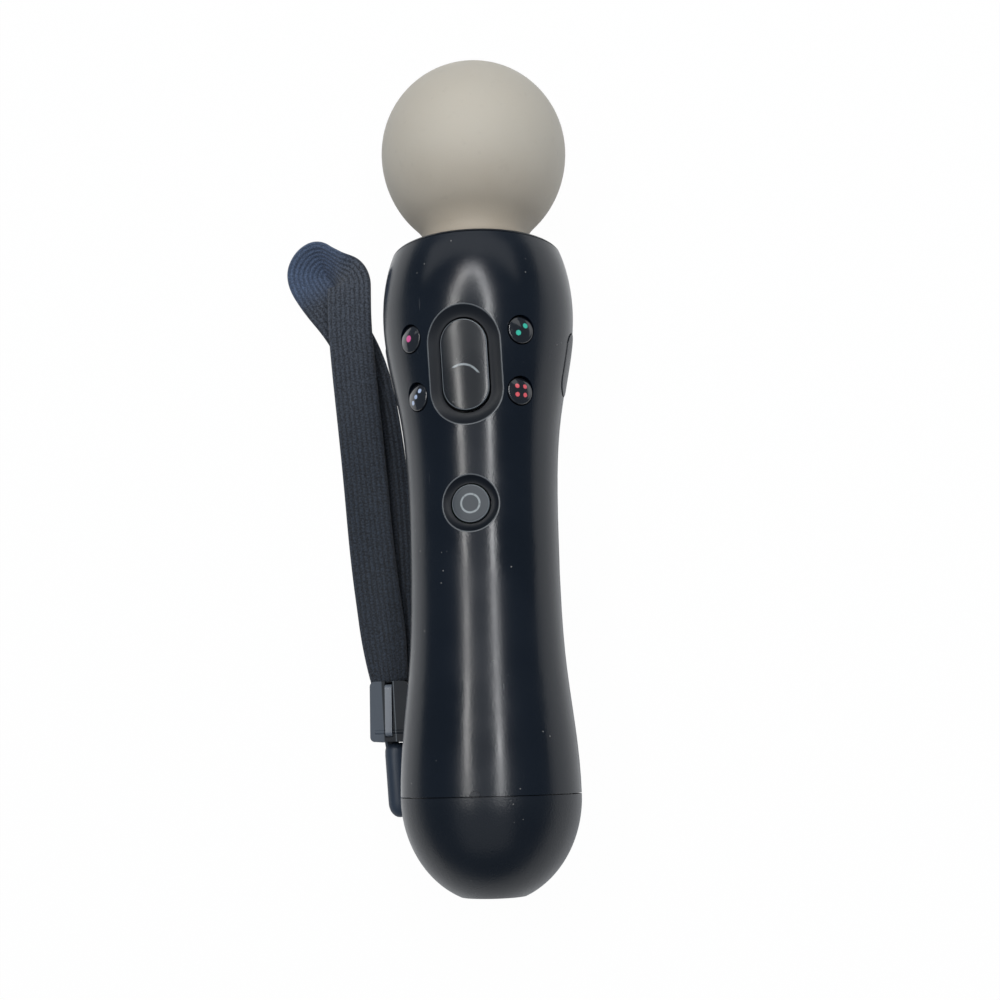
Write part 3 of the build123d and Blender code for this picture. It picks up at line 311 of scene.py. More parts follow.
lock_finish = lock_skin()
lever_finish = moulded("lever_black", (0.15, 0.17, 0.2), 0.36, bead=0.00001, wear=0.6)
inner_finish = moulded("inner_black", (0.035, 0.035, 0.036), 0.5, bead=0.00003, wear=0.1)
switch_finish = moulded("switch_black", (0.012, 0.012, 0.013), 0.42, bead=0.00001, wear=0.1)
mat_finish = plain_rubber("mat_grey", (0.055, 0.056, 0.06))
sleeve_finish = plain_rubber("sleeve_rubber", (0.034, 0.05, 0.077), 0.5)
cradle_finish = plain_rubber("cradle_rubber", (0.02, 0.02, 0.021), 0.7)
steel_finish = metal("steel", (0.56, 0.57, 0.58), 0.28)
motor_finish = metal("motor_can", (0.5, 0.5, 0.5), 0.33, (4200, 60, 4200))
weight_finish = metal("sintered_weight", (0.3, 0.3, 0.31), 0.5, (900, 900, 900))
gold_finish = metal("contact_gold", (0.83, 0.6, 0.26), 0.24)
board_finish = circuit("board_green", (0.01, 0.075, 0.03), (0.72, 0.7, 0.66))
lead_finish = moulded("lead_skin", (0.3, 0.012, 0.012), 0.38, bead=0.00001, wear=0.0)
ribbon_finish = circuit("ribbon_amber", (0.42, 0.17, 0.03), (0.7, 0.45, 0.2))
battery_finish = moulded("battery_wrap", (0.03, 0.033, 0.045), 0.33, bead=0.00001, wear=0.2)
lamp_finish = Finish("lamp_clear", (0.75, 0.78, 0.8), 0.22)
lamp_finish.feed("Roughness", lamp_finish.share(lamp_finish.noise(900), 0.3, 0.7, 0.14, 0.3))
lamp_finish.raise_by(lamp_finish.noise(1400), 0.00001)


def ball_skin():
    """The ball's soft matt skin: warm grey, browner and darker towards the collar."""
    made = Finish("ball_skin", (0.5, 0.455, 0.39), 0.6, subsurface_weight=0.12)
    made.fix("Subsurface Radius", (0.003, 0.0025, 0.002))
    made.fix("Subsurface Scale", 1.0)
    upper_station, lower_station = 0.076, 0.052
    station = made.along((0, 1, 0))
    cloud = made.noise(55, 4)
    soot = made.noise(420, 3)
    collar_share = made.share(station + (cloud - 0.5) * 0.012, upper_station, lower_station)
    upper_tint = made.shade(cloud, (0.5, 0.455, 0.38), (0.54, 0.495, 0.415))
    # Browner and darker towards the collar.
    tint = made.shade(collar_share * 0.55, upper_tint, (0.36, 0.29, 0.21))
    smudge = made.share(soot, 0.6, 0.78) * 0.12
    tint = made.shade(smudge, tint, (0.3, 0.26, 0.22))
    made.feed("Base Color", tint)
    made.feed("Roughness", made.share(cloud, 0.3, 0.7, 0.55, 0.66))
    made.raise_by(made.noise(4200, 2) + made.cells(1900) * 0.5, 0.000018)
    return made


ball_finish = ball_skin()


def facing(angle):
    """The outward direction at an angle round the wand from straight up."""
    return Vector((sin(radians(angle)), 0, cos(radians(angle))))


def pips(name, station, angle, colour, spots, size):
    """A clear domed key over a printed disc, with plain round pips."""
    disc = (0.008, 0.009, 0.012)
    made = Finish(name, disc, 0.09, coat_weight=1.0, coat_roughness=0.04)
    out = facing(angle)
    across = Vector((out.z, 0, -out.x))
    centre = Vector((0, station, AXIS_HEIGHT)) + out * ACTION_KEY_REACH
    u = made.along(across, centre)
    v = made.along((0, 1, 0), centre)
    mark = None
    for x, y in spots:
        dot = made.share(made.gap(u - x, v - y), size, size * 0.72)
        mark = dot if mark is None else made.math("MAXIMUM", mark, dot)
    dust = made.share(made.noise(900), 0.62, 0.7) * 0.05
    tint = made.shade(dust, disc, (0.1, 0.1, 0.1))
    made.feed("Base Color", made.shade(mark, tint, colour))
    made.feed("Roughness", made.share(made.noise(300), 0.3, 0.7, 0.07, 0.14))
    return made


def marked_key(name, station, line, colour, roughness):
    """A key of a dark plastic with a thin grey printed mark."""
    made = moulded(name, colour, roughness, bead=0.000006, wear=0.5, dust=0.5)
    centre = (0, station, KEY_MARK_HEIGHT)
    mark = line(made, made.along((1, 0, 0), centre), made.along((0, 1, 0), centre))
    worn = made.share(made.noise(1500), 0.25, 0.45)
    made.feed("Base Color", made.shade(mark * worn, made.fed("Base Color"), (0.3, 0.33, 0.34)))
    return made


def ring_line(made, u, v):
    """A plain ring."""
    radius = 0.0021
    far = made.gap(u, v)
    return made.share(made.math("ABSOLUTE", far - radius), 0.00028, 0.00014)


def arc_line(made, u, v):
    """A plain slanting arc."""
    radius, slant = 0.0042, 0.25
    far = made.gap(u + 0.0005, v + radius)
    edge = made.share(made.math("ABSOLUTE", far - radius), 0.0003, 0.00014)
    return edge * made.share(v + u * slant, -0.0014, -0.0011)


# Each action key's number, station, angle round the wand, print colour, pips and pip size
ACTION_KEYS = [
    ("one", 0.0254, -36, (0.8, 0.12, 0.35), [(0, 0)], 0.0009),
    ("two", 0.0256, 36, (0.05, 0.55, 0.4), [(-0.0009, -0.0009), (0.0009, 0.0009)], 0.0007),
    (
        "three",
        0.0121,
        -38,
        (0.45, 0.55, 0.75),
        [(-0.0012, -0.0012), (0, 0), (0.0012, 0.0012)],
        0.0006,
    ),
    (
        "four",
        0.0119,
        38,
        (0.8, 0.12, 0.14),
        [(-0.001, -0.001), (0.001, -0.001), (-0.001, 0.001), (0.001, 0.001)],
        0.0006,
    ),
]


node_finish = {
    "front_shell": shell_finish,
    "rear_shell": shell_finish,
    "tail_cap": cap_finish,
    "top_collar": collar_finish,
    "sphere_base": inner_finish,
    "led_board": board_finish,
    "colour_led": lamp_finish,
    "light_guide": lamp_finish,
    "led_ribbon": ribbon_finish,
    "button_mat": mat_finish,
    "button_contacts": board_finish,
    "button_carrier": inner_finish,
    "home_pad": mat_finish,
    "status_lamp": key_finish,
    "chassis": inner_finish,
    "start_switch": switch_finish,
    "select_switch": switch_finish,
    "reset_switch": switch_finish,
    "trigger_pin": steel_finish,
    "trigger_board": board_finish,
    "trigger_pad": mat_finish,
    "trigger_spring": steel_finish,
    "inner_frame": inner_finish,
    "main_board": board_finish,
    "board_chips": switch_finish,
    "board_screws": steel_finish,
    "case_screws": steel_finish,
    "battery": battery_finish,
    "battery_tray": inner_finish,
    "battery_plug": switch_finish,
    "battery_lead": lead_finish,
    "rumble_motor": motor_finish,
    "motor_cradle": cradle_finish,
    "usb_port": steel_finish,
    "extension_port": steel_finish,
    "charge_contacts": gold_finish,
    "port_board": board_finish,
    "lock_body": lock_finish,
    "lock_lever": lever_finish,
    "lever_pin": lock_finish,
    "motor_shaft": steel_finish,
    "eccentric_weight": weight_finish,
    "move_button": marked_key(
        "move_key", MOVE_STATION, arc_line, (0.012, 0.014, 0.017), 0.25
    ),
    "home_button": marked_key(
        "home_key", HOME_STATION, ring_line, (0.046, 0.054, 0.063), 0.5
    ),
    "start_button": side_key_finish,
    "select_button": side_key_finish,
    "reset_button": side_key_finish,
    "trigger": trigger_finish,
}
for number, station, angle, colour, spots, size in ACTION_KEYS:
    node_finish[f"action_button_{number}"] = pips(
        f"key_{number}", station, angle, colour, spots, size
    )
for node, finish in node_finish.items():
    slots = nodes[node].data.materials
    if not slots:
        slots.append(finish.material)
    for place in range(len(slots)):
        slots[place] = finish.material


def shown(name, mesh, body, finish, slot, *stands_for):
    """A new piece of the wand that rides on a body."""
    obj = bpy.data.objects.new(name, mesh)
    scene.collection.objects.link(obj)
    if not mesh.materials:
        mesh.materials.append(finish.material)
    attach(obj, body)
    if stands_for:
        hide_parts(*stands_for)
    return obj


def as_mesh(form, name, flat_caps=False):
    """A form's mesh, shaded smoothly, apart from flat caps."""
    for face in form.faces:
        face.smooth = not (flat_caps and len(face.verts) > 4)
    mesh = bpy.data.meshes.new(name)
    form.to_mesh(mesh)
    form.free()
    return mesh


def turned(spots, centre, axis, sides):
    """A form turned round an axis from a run of places, with its open rims capped."""
    form = bmesh.new()
    verts = [form.verts.new(spot) for spot in spots]
    edges = [form.edges.new(pair) for pair in zip(verts, verts[1:])]
    bmesh.ops.spin(
        form,
        geom=verts + edges,
        cent=centre,
        axis=axis,
        angle=2 * pi,
        steps=sides,
        use_merge=True,
    )
    bmesh.ops.remove_doubles(form, verts=form.verts, dist=MERGE_DISTANCE)
    rims = [edge for edge in form.edges if edge.is_boundary]
    if rims:
        bmesh.ops.contextual_create(form, geom=rims)
    bmesh.ops.recalc_face_normals(form, faces=form.faces)
    return form


# Strap: its cord, and the webbing that loops over itself
def route_curve(name, points, resolution):
    """A smooth NURBS line through the given route."""
    curve = bpy.data.curves.new(name, "CURVE")
    curve.dimensions = "3D"
    spline = curve.splines.new("NURBS")
    spline.points.add(len(points) - 1)
    for point, spot in zip(spline.points, points):
        point.co = (*spot, 1)
    spline.order_u = 3
    spline.use_endpoint_u = True
    spline.resolution_u = resolution
    return curve


def route_spots(name, points, resolution):
    """Where the smooth line of a route runs, as points in their order."""
    line = bpy.data.objects.new(name, route_curve(name, points, resolution))
    scene.collection.objects.link(line)
    mesh = bpy.data.meshes.new_from_object(line)
    spots = [vertex.co.copy() for vertex in mesh.vertices]
    bpy.data.objects.remove(line)
    bpy.data.meshes.remove(mesh)
    return spots


CORD_ROUTE = [
    (-0.02884, -0.07073, 0.00275),
    (-0.02727, -0.08027, 0.00275),
    (-0.0185, -0.0902, 0.0014),
    (-0.0080, -0.0900, 0.0009),
    (0.0021, -0.0886, 0.0010),
    (0.0021, -0.0879, 0.0117),
    (-0.0021, -0.0861, 0.0117),
    (-0.0021, -0.0856, 0.0012),
    (-0.0100, -0.0862, 0.0009),
    (-0.0180, -0.0866, 0.0014),
    (-0.02553, -0.07997, 0.00275),
    (-0.02709, -0.07044, 0.00275),
]


def braid_skin():
    """A thin braided cord, black, with small crossing strands."""
    made = Finish("cord_black", (0.012, 0.012, 0.014), 0.75, sheen_weight=0.3)
    strands = made.cells(3400, at=made.stretched((1, 1.6, 1), (0.5, 0.4, 0.7)))
    tint = made.shade(made.share(strands, 0.2, 0.7), (0.03, 0.031, 0.035), (0.006, 0.006, 0.007))
    made.feed("Base Color", tint)
    made.raise_by(strands, 0.00012)
    return made


cord_curve = route_curve("strap_cord_line", CORD_ROUTE, CORD_STEPS)
cord_curve.bevel_depth = CORD_DIAMETER / 2
cord_curve.bevel_resolution = 4
cord_curve.use_fill_caps = True
cord = shown("strap_cord_braid", cord_curve, "wand", braid_skin(), "cord_black", "strap_cord")


def sleeve_mesh(name):
    """A turned rubber sleeve with a soft shoulder and a round foot."""
    way = (SLEEVE_FOOT - SLEEVE_TOP).normalized()
    side = way.cross(Vector((0, 0, 1)))
    length = (SLEEVE_FOOT - SLEEVE_TOP).length
    shares = [(0, 0), (0.62, 0), (0.85, 0.0006), (0.97, 0.0016), (1, 0.0028), (1, length / 2)]
    round_foot = SLEEVE_RADIUS * 1.3
    for step in range(11):
        turn = pi / 2 * step / 10
        shares.append((cos(turn), length - round_foot * (1 - sin(turn))))
    spots = [SLEEVE_TOP + way * far + side * SLEEVE_RADIUS * out for out, far in shares]
    return as_mesh(turned(spots, SLEEVE_TOP, way, sides=56), name)


sleeve = shown(
    "strap_sleeve_rubber",
    sleeve_mesh("strap_sleeve_rubber"),
    "wand",
    sleeve_finish,
    "sleeve_rubber",
    "strap_sleeve",
)

# Each row is a place on the webbing's middle line, then its lean from lying flat, in degrees
WEBBING_ROUTE = [
    ((-0.0278, -0.0506, 0.0029), 0),
    ((-0.0278, -0.0320, 0.0015), 0),
    ((-0.0292, 0.0000, 0.0013), 0),
    ((-0.0319, 0.0210, 0.0013), 0),
    ((-0.0350, 0.0330, 0.0014), 0),
    ((-0.0400, 0.0430, 0.0018), 4),
    ((-0.0462, 0.0508, 0.0029), 14),
    ((-0.0496, 0.0562, 0.0044), 32),
    ((-0.0480, 0.0598, 0.0053), 47),
    ((-0.0450, 0.0614, 0.0058), 58),
    ((-0.0418, 0.0590, 0.0062), 60),
    ((-0.0390, 0.0560, 0.0074), 48),
    ((-0.0367, 0.0536, 0.0088), 4),
    ((-0.0368, 0.0494, 0.0088), 0),
    ((-0.0370, 0.0430, 0.0080), 0),
    ((-0.0370, 0.0340, 0.0058), 0),
    ((-0.0344, 0.0040, 0.0042), 0),
    ((-0.0326, -0.0190, 0.0042), 0),
    ((-0.0300, -0.0380, 0.0046), 0),
    ((-0.0284, -0.0506, 0.0050), 0),
]


def webbing_skin():
    """Knitted elastic: ribs along the band, each a row of small stitches, with a painted sheen
    towards the head.
    """
    made = Finish("webbing_black", (0.011, 0.0115, 0.0125), 0.86, sheen_weight=0.14)
    made.fix("Sheen Roughness", 0.6)
    uv = made.node("ShaderNodeUVMap", {"uv_map": "weave"})
    parts = made.tree.nodes.new("ShaderNodeSeparateXYZ")
    made.tree.links.new(uv.socket, parts.inputs[0])
    across = Value(made, parts.outputs[0])
    along = Value(made, parts.outputs[1])
    rib = made.math("SINE", across * (RIBS * 2 * pi)) * 0.5 + 0.5
    row = made.math("FLOOR", across * RIBS)
    slip = made.math("MODULO", row, 2) * pi
    stitch = made.math("SINE", along * (2 * pi / STITCH_LENGTH) + slip) * 0.5 + 0.5
    fuzz = made.share(made.noise(2600, 2, 0.7), 0.38, 0.62)
    strand = made.share(made.noise(1, 2, at=made.stretched((4200, 1300, 4200))), 0.38, 0.62)
    cloud = made.noise(60, 3)
    loop = made.share(rib * stitch + (fuzz - 0.5) * 0.5, 0.3, 0.9)
    # The weave's tone: darker in the grooves between ribs and stitches and lighter on their
    # crests, which is painted shade and light, mixed with the fibres' own random tone.
    worn = rib * 0.32 + loop * 0.14 + fuzz * 0.44 + strand * 0.24
    # Painted sheen: the band's colours run lighter and bluer towards the head, and lighter and
    # bluer still on the loop's raised lobe, standing for reflected sky.
    high = made.share(made.along((0, 1, 0)), 0.0, 0.06)
    dark = made.shade(high, (0.0024, 0.0042, 0.0074), (0.0095, 0.013, 0.02))
    light = made.shade(high, (0.029, 0.041, 0.062), (0.082, 0.098, 0.13))
    lobe_sheen = made.share(made.along((-0.6, 0.8, 0)), 0.066, 0.074)
    dark = made.shade(lobe_sheen, dark, (0.036, 0.056, 0.098))
    light = made.shade(lobe_sheen, light, (0.095, 0.142, 0.245))
    tint = made.shade(made.share(worn, 0.1, 1.0), dark, light)
    lint = made.share(made.cells(1500), 0.07, 0.04) * made.share(cloud, 0.5, 0.6)
    tint = made.shade(lint * 0.3, tint, (0.12, 0.12, 0.12))
    made.feed("Base Color", tint)
    made.feed("Roughness", made.share(cloud, 0.3, 0.7, 0.8, 0.92))
    made.raise_by(loop * 0.8 + fuzz * 0.4, 0.00016)
    return made


def band_section():
    """The ribbed band's whole outline, as shares of its width and its thickness."""
    steps = RIBS * 4
    half_thick, rib_height = 0.42, 0.08
    selvedge, rise = 0.45, 0.28
    top = []
    for step in range(steps + 1):
        across = step / steps
        edge = min(across, 1 - across) * steps
        lift = half_thick + rib_height * cos(step * pi / 2)
        top.append((across, lift * min(1.0, selvedge + edge * rise)))
    return top + [(across, -lift) for across, lift in reversed(top)]


def polyline_length(spots):
    """The length of a run of points."""
    return sum((after - before).length for before, after in zip(spots, spots[1:]))


def webbing_mesh(name, rows):
    """The band, swept along its route with its lean turning smoothly, gathered at the lock."""
    spots = route_spots(name, [spot for spot, lean in rows], WEBBING_STEPS)
    lean_scale = 1000
    lean_rows = [(x, y, lean / lean_scale) for (x, y, z), lean in rows]
    leans = [spot.z * lean_scale for spot in route_spots(name, lean_rows, WEBBING_STEPS)]
    section = band_section()
    length = polyline_length(spots)
    form = bmesh.new()
    weave = form.loops.layers.uv.new("weave")
    travelled = 0.0
    ring = []
    first = None
    for place, spot in enumerate(spots):
        ahead = spots[min(place + 1, len(spots) - 1)]
        behind = spots[max(place - 1, 0)]
        way = (ahead - behind).normalized()
        level = Vector((0, 0, 1)).cross(way).normalized()
        above = way.cross(level)
        lean = radians(leans[place])
        side = level * cos(lean) + above * sin(lean)
        rise = way.cross(side)
        if place:
            travelled += (spot - spots[place - 1]).length
        free = min(1.0, min(travelled, length - travelled) / GATHER_LENGTH)
        width = WEBBING_WIDTH * (GATHER_SHARE + (1 - GATHER_SHARE) * free * (2 - free))
        next_ring = [
            form.verts.new(spot + side * (across - 0.5) * width + rise * lift * WEBBING_THICK)
            for across, lift in section
        ]
        if ring:
            for corner in range(len(section)):
                other = (corner + 1) % len(section)
                face = form.faces.new(
                    (ring[corner], ring[other], next_ring[other], next_ring[corner])
                )
                marks = (
                    (section[corner][0], before),
                    (section[other][0], before),
                    (section[other][0], travelled),
                    (section[corner][0], travelled),
                )
                for loop, mark in zip(face.loops, marks):
                    loop[weave].uv = mark
        else:
            first = next_ring
        before = travelled
        ring = next_ring
    form.faces.new(first)
    form.faces.new(list(reversed(ring)))
    bmesh.ops.recalc_face_normals(form, faces=form.faces)
    return as_mesh(form, name, flat_caps=True), spots, length


mesh, webbing_line, webbing_length = webbing_mesh("wrist_webbing_knit", WEBBING_ROUTE)
webbing = shown("wrist_webbing_knit", mesh, "wand", webbing_skin(), "webbing", "wrist_webbing")


polyline_length(route_spots("cord_length", CORD_ROUTE, CORD_STEPS))


# The soft ball
def ball_mesh(name):
    """A turned ball with a short neck that sits in the collar."""
    steps, neck_share, neck_drop = 64, 1.2, 0.0024
    spots = []
    for step in range(steps + 1):
        turn = pi * step / steps
        depth = BALL_RADIUS if turn < pi / 2 else BALL_FOOT
        spot = Vector((BALL_RADIUS * sin(turn), depth * cos(turn), 0))
        if turn > pi / 2 and spot.x < NECK_RADIUS * neck_share:
            break
        spots.append(spot)
    start = spots[-1]
    slope = (start - spots[-2]).normalized()
    reach = (start.x - NECK_RADIUS) / -slope.x
    neck = Vector((NECK_RADIUS, start.y + slope.y * reach - neck_drop, 0))
    middle = start + slope * reach
    for step in range(1, 11):
        share = step / 10
        spots.append(start.lerp(middle, share).lerp(middle.lerp(neck, share), share))
    spots.append(Vector((NECK_RADIUS, NECK_FOOT - BALL_STATION, 0)))
    form = turned(spots, (0, 0, 0), (0, 1, 0), sides=112)
    bmesh.ops.translate(form, verts=form.verts, vec=(0, BALL_STATION, AXIS_HEIGHT))
    return as_mesh(form, name)


shown(
    "glow_sphere_skin",
    ball_mesh("glow_sphere_skin"),
    "wand",
    ball_finish,
    "sphere_soft",
    "glow_sphere",
)


# Dishes and caps of the two large keys, laid on the shell's own curve
def skin_tree():
    """The front shell's faces, to be met by straight rays."""
    shell = nodes["front_shell"].data
    return BVHTree.FromPolygons(
        [vertex.co for vertex in shell.vertices], [face.vertices for face in shell.polygons]
    )


front_skin = skin_tree()


def skin_radius(station):
    """The wand's radius at a station, met between the front keys and the side keys."""
    bare_angle, outside = radians(35), 0.1
    slant = Vector((cos(bare_angle), 0, sin(bare_angle)))
    axis = Vector((0, station, AXIS_HEIGHT))
    return (front_skin.ray_cast(axis + slant * outside, -slant)[0] - axis).length


def oval(width, length):
    """Places round an oval with its outward directions."""
    ends, sides = 26, 12
    half = width / 2
    straight = (length - width) / 2
    places = []
    for side in (1, -1):
        for step in range(1, sides if straight > 0 else 1):
            y = side * straight * (2 * step / sides - 1)
            places.append((Vector((side * half, y, 0)), Vector((side, 0, 0))))
        for step in range(ends + (1 if straight > 0 else 0)):
            turn = pi * step / ends + (0 if side > 0 else pi)
            out = Vector((cos(turn), sin(turn), 0))
            places.append((Vector((0, side * straight, 0)) + out * half, out))
    return places


def laid_on_skin(name, station, width, length, rows, closed, groups):
    """Rows of an oval form, each so far in from its outline and so far below the skin.

    The groups say which rows take the first, second and third finish.
    """
    form = bmesh.new()
    places = oval(width, length)
    ring = []
    for number, (inward, depth) in enumerate(rows):
        spots = []
        for place, out in places:
            spot = place - out * inward
            spot.y += station
            reach = skin_radius(spot.y)
            spot.z = AXIS_HEIGHT + (reach**2 - spot.x**2) ** 0.5 - depth
            spots.append(spot)
        if ring:
            drawn = bmesh.ops.extrude_edge_only(form, edges=edges)["geom"]
            verts, lines, faces = (
                [part for part in drawn if isinstance(part, kind)]
                for kind in (bmesh.types.BMVert, bmesh.types.BMEdge, bmesh.types.BMFace)
            )
            fresh = {tuple(vert.co): vert for vert in verts}
            edges = [line for line in lines if line.is_boundary]
            ring = [fresh[tuple(vert.co)] for vert in ring]
            for vert, spot in zip(ring, spots):
                vert.co = spot
            for face in faces:
                face.material_index = (number > groups[0]) + (number > groups[1])
        else:
            ring = [form.verts.new(spot) for spot in spots]
            edges = [form.edges.new(pair) for pair in zip(ring, ring[1:] + ring[:1])]
    if closed:
        bmesh.ops.contextual_create(form, geom=edges)
    bmesh.ops.recalc_face_normals(form, faces=form.faces)
    if sum(face.normal.z * face.calc_area() for face in form.faces) < 0:
        bmesh.ops.reverse_faces(form, faces=form.faces)
    return as_mesh(form, name)


def dish_rows(lip, reach, depth):
    """A flush lip, a rim that rolls over, and a hollow that runs in to the key."""
    edge, proud, roll = 0.0003, 0.00001, radians(40)
    rows = [(-lip, -proud), (-lip / 2, -proud), (-edge / 2, -proud)]
    for step in range(1, 6):
        turn = roll * step / 5
        rows.append((edge * (sin(turn) / sin(roll) - 0.5), edge * (1 - cos(turn)) - proud))
    inward, below = rows[-1]
    for step in range(1, 15):
        share = step / 14
        fall = sin(share * pi / 2)
        rows.append((inward + (reach - inward) * share, below + (depth - below) * fall))
    return rows


def cap_rows(half, top, foot):
    """A key's side, its rounded edge and its top."""
    edge, hole = 0.00028, 0.0001
    rows = [(0.0, foot), (0.0, top + edge)]
    for step in range(1, 7):
        turn = pi / 2 * step / 6
        rows.append((edge * (1 - cos(turn)), top + edge * (1 - sin(turn))))
    for step in range(1, 9):
        rows.append((edge + (half - edge - hole) * step / 8, top))
    return rows


# The dish's colour, darker than the shell's, is painted shade in the hollow.
dish_shade_finish = moulded("dish_shaded_black", darker(SHELL, 0.7), 0.46, bead=0.000004, wear=0.3, dust=0.4)
dish_shade_finish.fix("Specular IOR Level", 0.28)
# The dish rim's lighter colour is a painted highlight, with a few scratches.
rim_highlight_finish = moulded("rim_highlight", (0.075, 0.084, 0.092), 0.34, bead=0.000004, wear=0.6, dust=0.4)
# A lighter colour on a key cap's rounded edge: a painted highlight, with a few scratches.
cap_edge_highlight_finish = moulded("cap_edge_highlight", (0.19, 0.21, 0.225), 0.3, bead=0.000004, wear=0.6)


def edged(name, mesh, body, finishes, slot, *stands_for):
    """A piece with a finish of its own for each group of its rows."""
    for finish in finishes:
        mesh.materials.append(finish.material)
    return shown(name, mesh, body, finishes[0], slot, *stands_for)


# Each large key's name and station, its dish's size and rows, its cap's size, rows and groups
LARGE_KEYS = [
    (
        "move",
        MOVE_STATION,
        (0.0169, 0.0272),
        dish_rows(0.0009, 0.00275, 0.0011),
        (0.0108, 0.0205),
        cap_rows(0.0054, 0.0004, 0.0022),
        (3, 6),
    ),
    (
        "home",
        HOME_STATION,
        (0.01305, 0.01305),
        dish_rows(0.0006, 0.00188, 0.001),
        (0.0086, 0.0086),
        cap_rows(0.0043, 0.00045, 0.0022),
        (2, 6),
    ),
]
# Dish rows after row 2 take the rim's painted highlight, and rows after row 7 the hollow's
# painted shade.
DISH_GROUPS = (2, 7)
for name, station, dish_size, dish_form, cap_size, cap_form, cap_groups in LARGE_KEYS:
    dish = laid_on_skin(f"{name}_dish", station, *dish_size, dish_form, False, DISH_GROUPS)
    edged(f"{name}_dish", dish, "wand", (shell_finish, rim_highlight_finish, dish_shade_finish), "shell_black")
    cap = laid_on_skin(f"{name}_cap", station, *cap_size, cap_form, True, cap_groups)
    top_finish = node_finish[f"{name}_button"]
    # The cap's middle group of rows, on its rounded edge, takes the painted highlight.
    edged(
        f"{name}_cap",
        cap,
        f"{name}_key",
        (top_finish, cap_edge_highlight_finish, top_finish),
        "key_gloss",
        f"{name}_button",
    )


def dome_mesh(name, station, angle):
    """A small turned key with a clear domed top and a soft edge."""
    out = facing(angle)
    dome, half, edge, proud, skirt = 0.008, 0.00315, 0.0003, 0.00045, 0.0012
    apex = Vector((0, station, AXIS_HEIGHT)) + out * (skin_radius(station) + proud)
    spots = []
    for step in range(9):
        reach = (half - edge) * step / 8
        spots.append((reach, dome - (dome**2 - reach**2) ** 0.5))
    brim = spots[-1][1]
    for step in range(1, 6):
        turn = pi / 2 * step / 5
        spots.append((half - edge + edge * sin(turn), brim + edge * (1 - cos(turn))))
    spots.append((half, brim + edge + skirt))
    places = [apex - out * depth + Vector((0, reach, 0)) for reach, depth in spots]
    return as_mesh(turned(places, apex, out, sides=48), name, flat_caps=True)


for number, station, angle in (key[:3] for key in ACTION_KEYS):
    shown(
        f"action_dome_{number}",
        dome_mesh(f"action_dome_{number}", station, angle),
        f"action_{number}",
        node_finish[f"action_button_{number}"],
        "key_clear",
        f"action_button_{number}",
    )


# Floor, lamps and world
def floor():
    """A wide pale floor under the wand, which glows for the camera and in reflections."""
    seen_glow, mirrored_glow = 0.98, 0.22
    form = bmesh.new()
    bmesh.ops.create_grid(form, x_segments=2, y_segments=2, size=2.5)
    mesh = bpy.data.meshes.new("floor")
    form.to_mesh(mesh)
    form.free()
    made = Finish("floor_white", (0.9, 0.9, 0.9), 0.9)
    seen = made.node("ShaderNodeLightPath", output="Is Camera Ray")
    mirrored = made.node("ShaderNodeLightPath", output="Is Glossy Ray")
    glow = made.node("ShaderNodeEmission", Color=(1, 1, 1, 1), Strength=1.0)
    mixed = made.node(
        "ShaderNodeMixShader",
        _0=seen * seen_glow + mirrored * mirrored_glow,
        _1=Value(made, made.shader.outputs[0]),
        _2=glow,
    )
    output = next(n for n in made.tree.nodes if n.type == "OUTPUT_MATERIAL")
    made.tree.links.new(mixed.socket, output.inputs["Surface"])
    mesh.materials.append(made.material)
    obj = bpy.data.objects.new("floor", mesh)
    scene.collection.objects.link(obj)


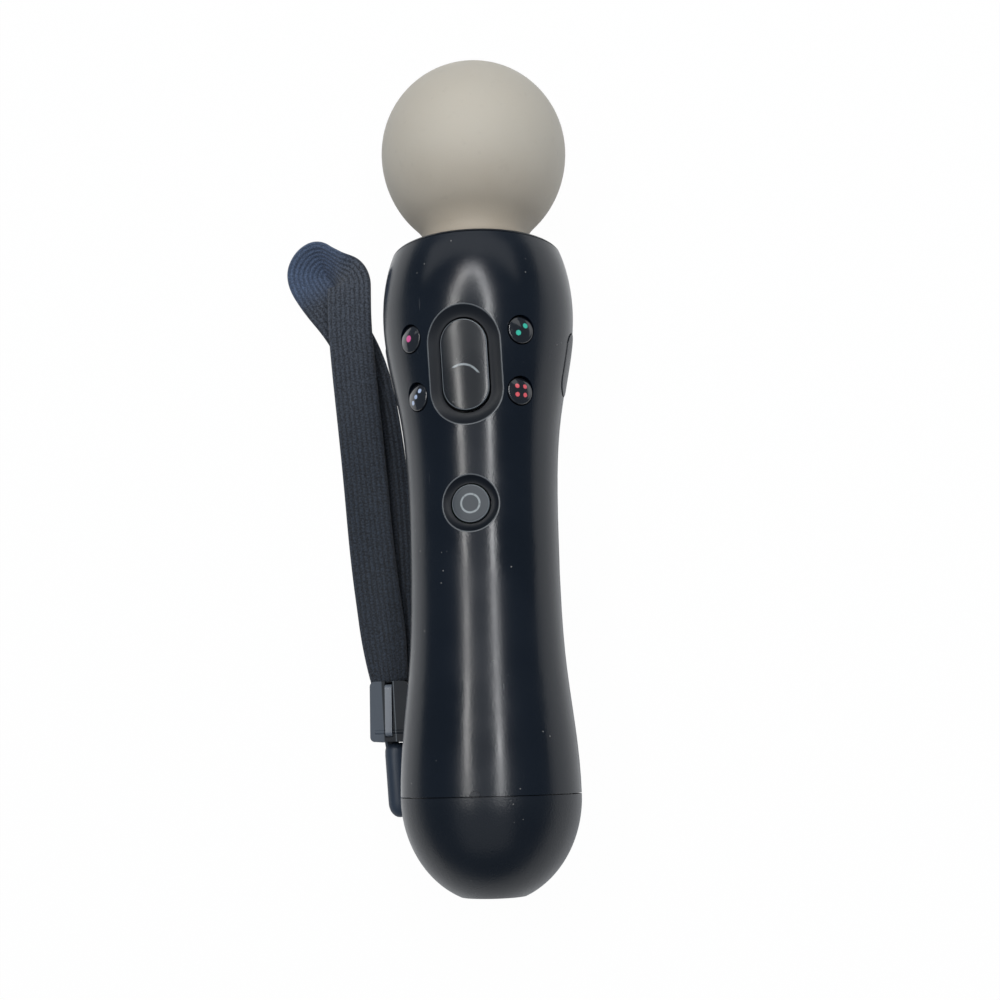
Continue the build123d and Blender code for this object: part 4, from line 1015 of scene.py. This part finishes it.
def strip(name, start, end, width, power, colour):
    """A long soft lamp between two places, turned to the wand."""
    start, end = Vector(start), Vector(end)
    middle = (start + end) / 2
    along = (end - start).normalized()
    away = middle - Vector((0, middle.y, AXIS_HEIGHT))
    away = (away - along * away.dot(along)).normalized()
    lamp = bpy.data.lights.new(name, "AREA")
    lamp.shape = "RECTANGLE"
    lamp.size, lamp.size_y = (end - start).length, width
    lamp.energy = power
    lamp.color = colour
    obj = bpy.data.objects.new(name, lamp)
    scene.collection.objects.link(obj)
    turn = Matrix((along, away.cross(along), away)).transposed().to_4x4()
    obj.matrix_world = Matrix.Translation(middle) @ turn


floor()
# The lamps' heights and colours
HIGH, MIDDLE, LOW = 0.66, 0.62, 0.55
WARM, COOL, WHITE = (1.0, 0.99, 0.97), (0.98, 0.99, 1.0), (1.0, 1.0, 1.0)
# Each lamp's name, its two ends, its width, power and colour
LAMPS = [
    ("lamp_left", (-0.205, -0.13, MIDDLE), (-0.215, 0.15, MIDDLE), 0.06, 0.66, WARM),
    ("lamp_left_far", (-0.215, 0.15, MIDDLE), (-0.03, 0.36, MIDDLE), 0.06, 0.6, WARM),
    ("lamp_right", (0.235, -0.13, MIDDLE), (0.245, 0.17, MIDDLE), 0.06, 0.86, COOL),
    ("lamp_right_far", (0.245, 0.17, MIDDLE), (0.12, 0.36, MIDDLE), 0.06, 0.6, COOL),
    ("lamp_far", (-0.03, 0.36, MIDDLE), (0.12, 0.36, MIDDLE), 0.07, 0.36, COOL),
    ("lamp_above", (0.015, -0.15, HIGH), (0.015, 0.45, HIGH), 0.36, 0.28, WHITE),
    ("lamp_head", (-0.9, 0.78, LOW), (0.95, 0.78, LOW), 0.6, 2.3, COOL),
    ("lamp_tail", (-0.5, -0.62, HIGH), (0.5, -0.62, HIGH), 0.7, 0.75, COOL),
]
for lamp in LAMPS:
    strip(*lamp)
world = bpy.data.worlds.new("world")
scene.world = world
world.use_nodes = True
tree = world.node_tree
ground = next(n for n in tree.nodes if n.type == "BACKGROUND")
ground.inputs["Color"].default_value = (0.14, 0.17, 0.21, 1)
ground.inputs["Strength"].default_value = 1.0
white = tree.nodes.new("ShaderNodeBackground")
white.inputs["Color"].default_value = (1, 1, 1, 1)
path = tree.nodes.new("ShaderNodeLightPath")
blend = tree.nodes.new("ShaderNodeMixShader")
tree.links.new(path.outputs["Is Camera Ray"], blend.inputs[0])
tree.links.new(ground.outputs[0], blend.inputs[1])
tree.links.new(white.outputs[0], blend.inputs[2])
sky = next(n for n in tree.nodes if n.type == "OUTPUT_WORLD")
tree.links.new(blend.outputs[0], sky.inputs[0])
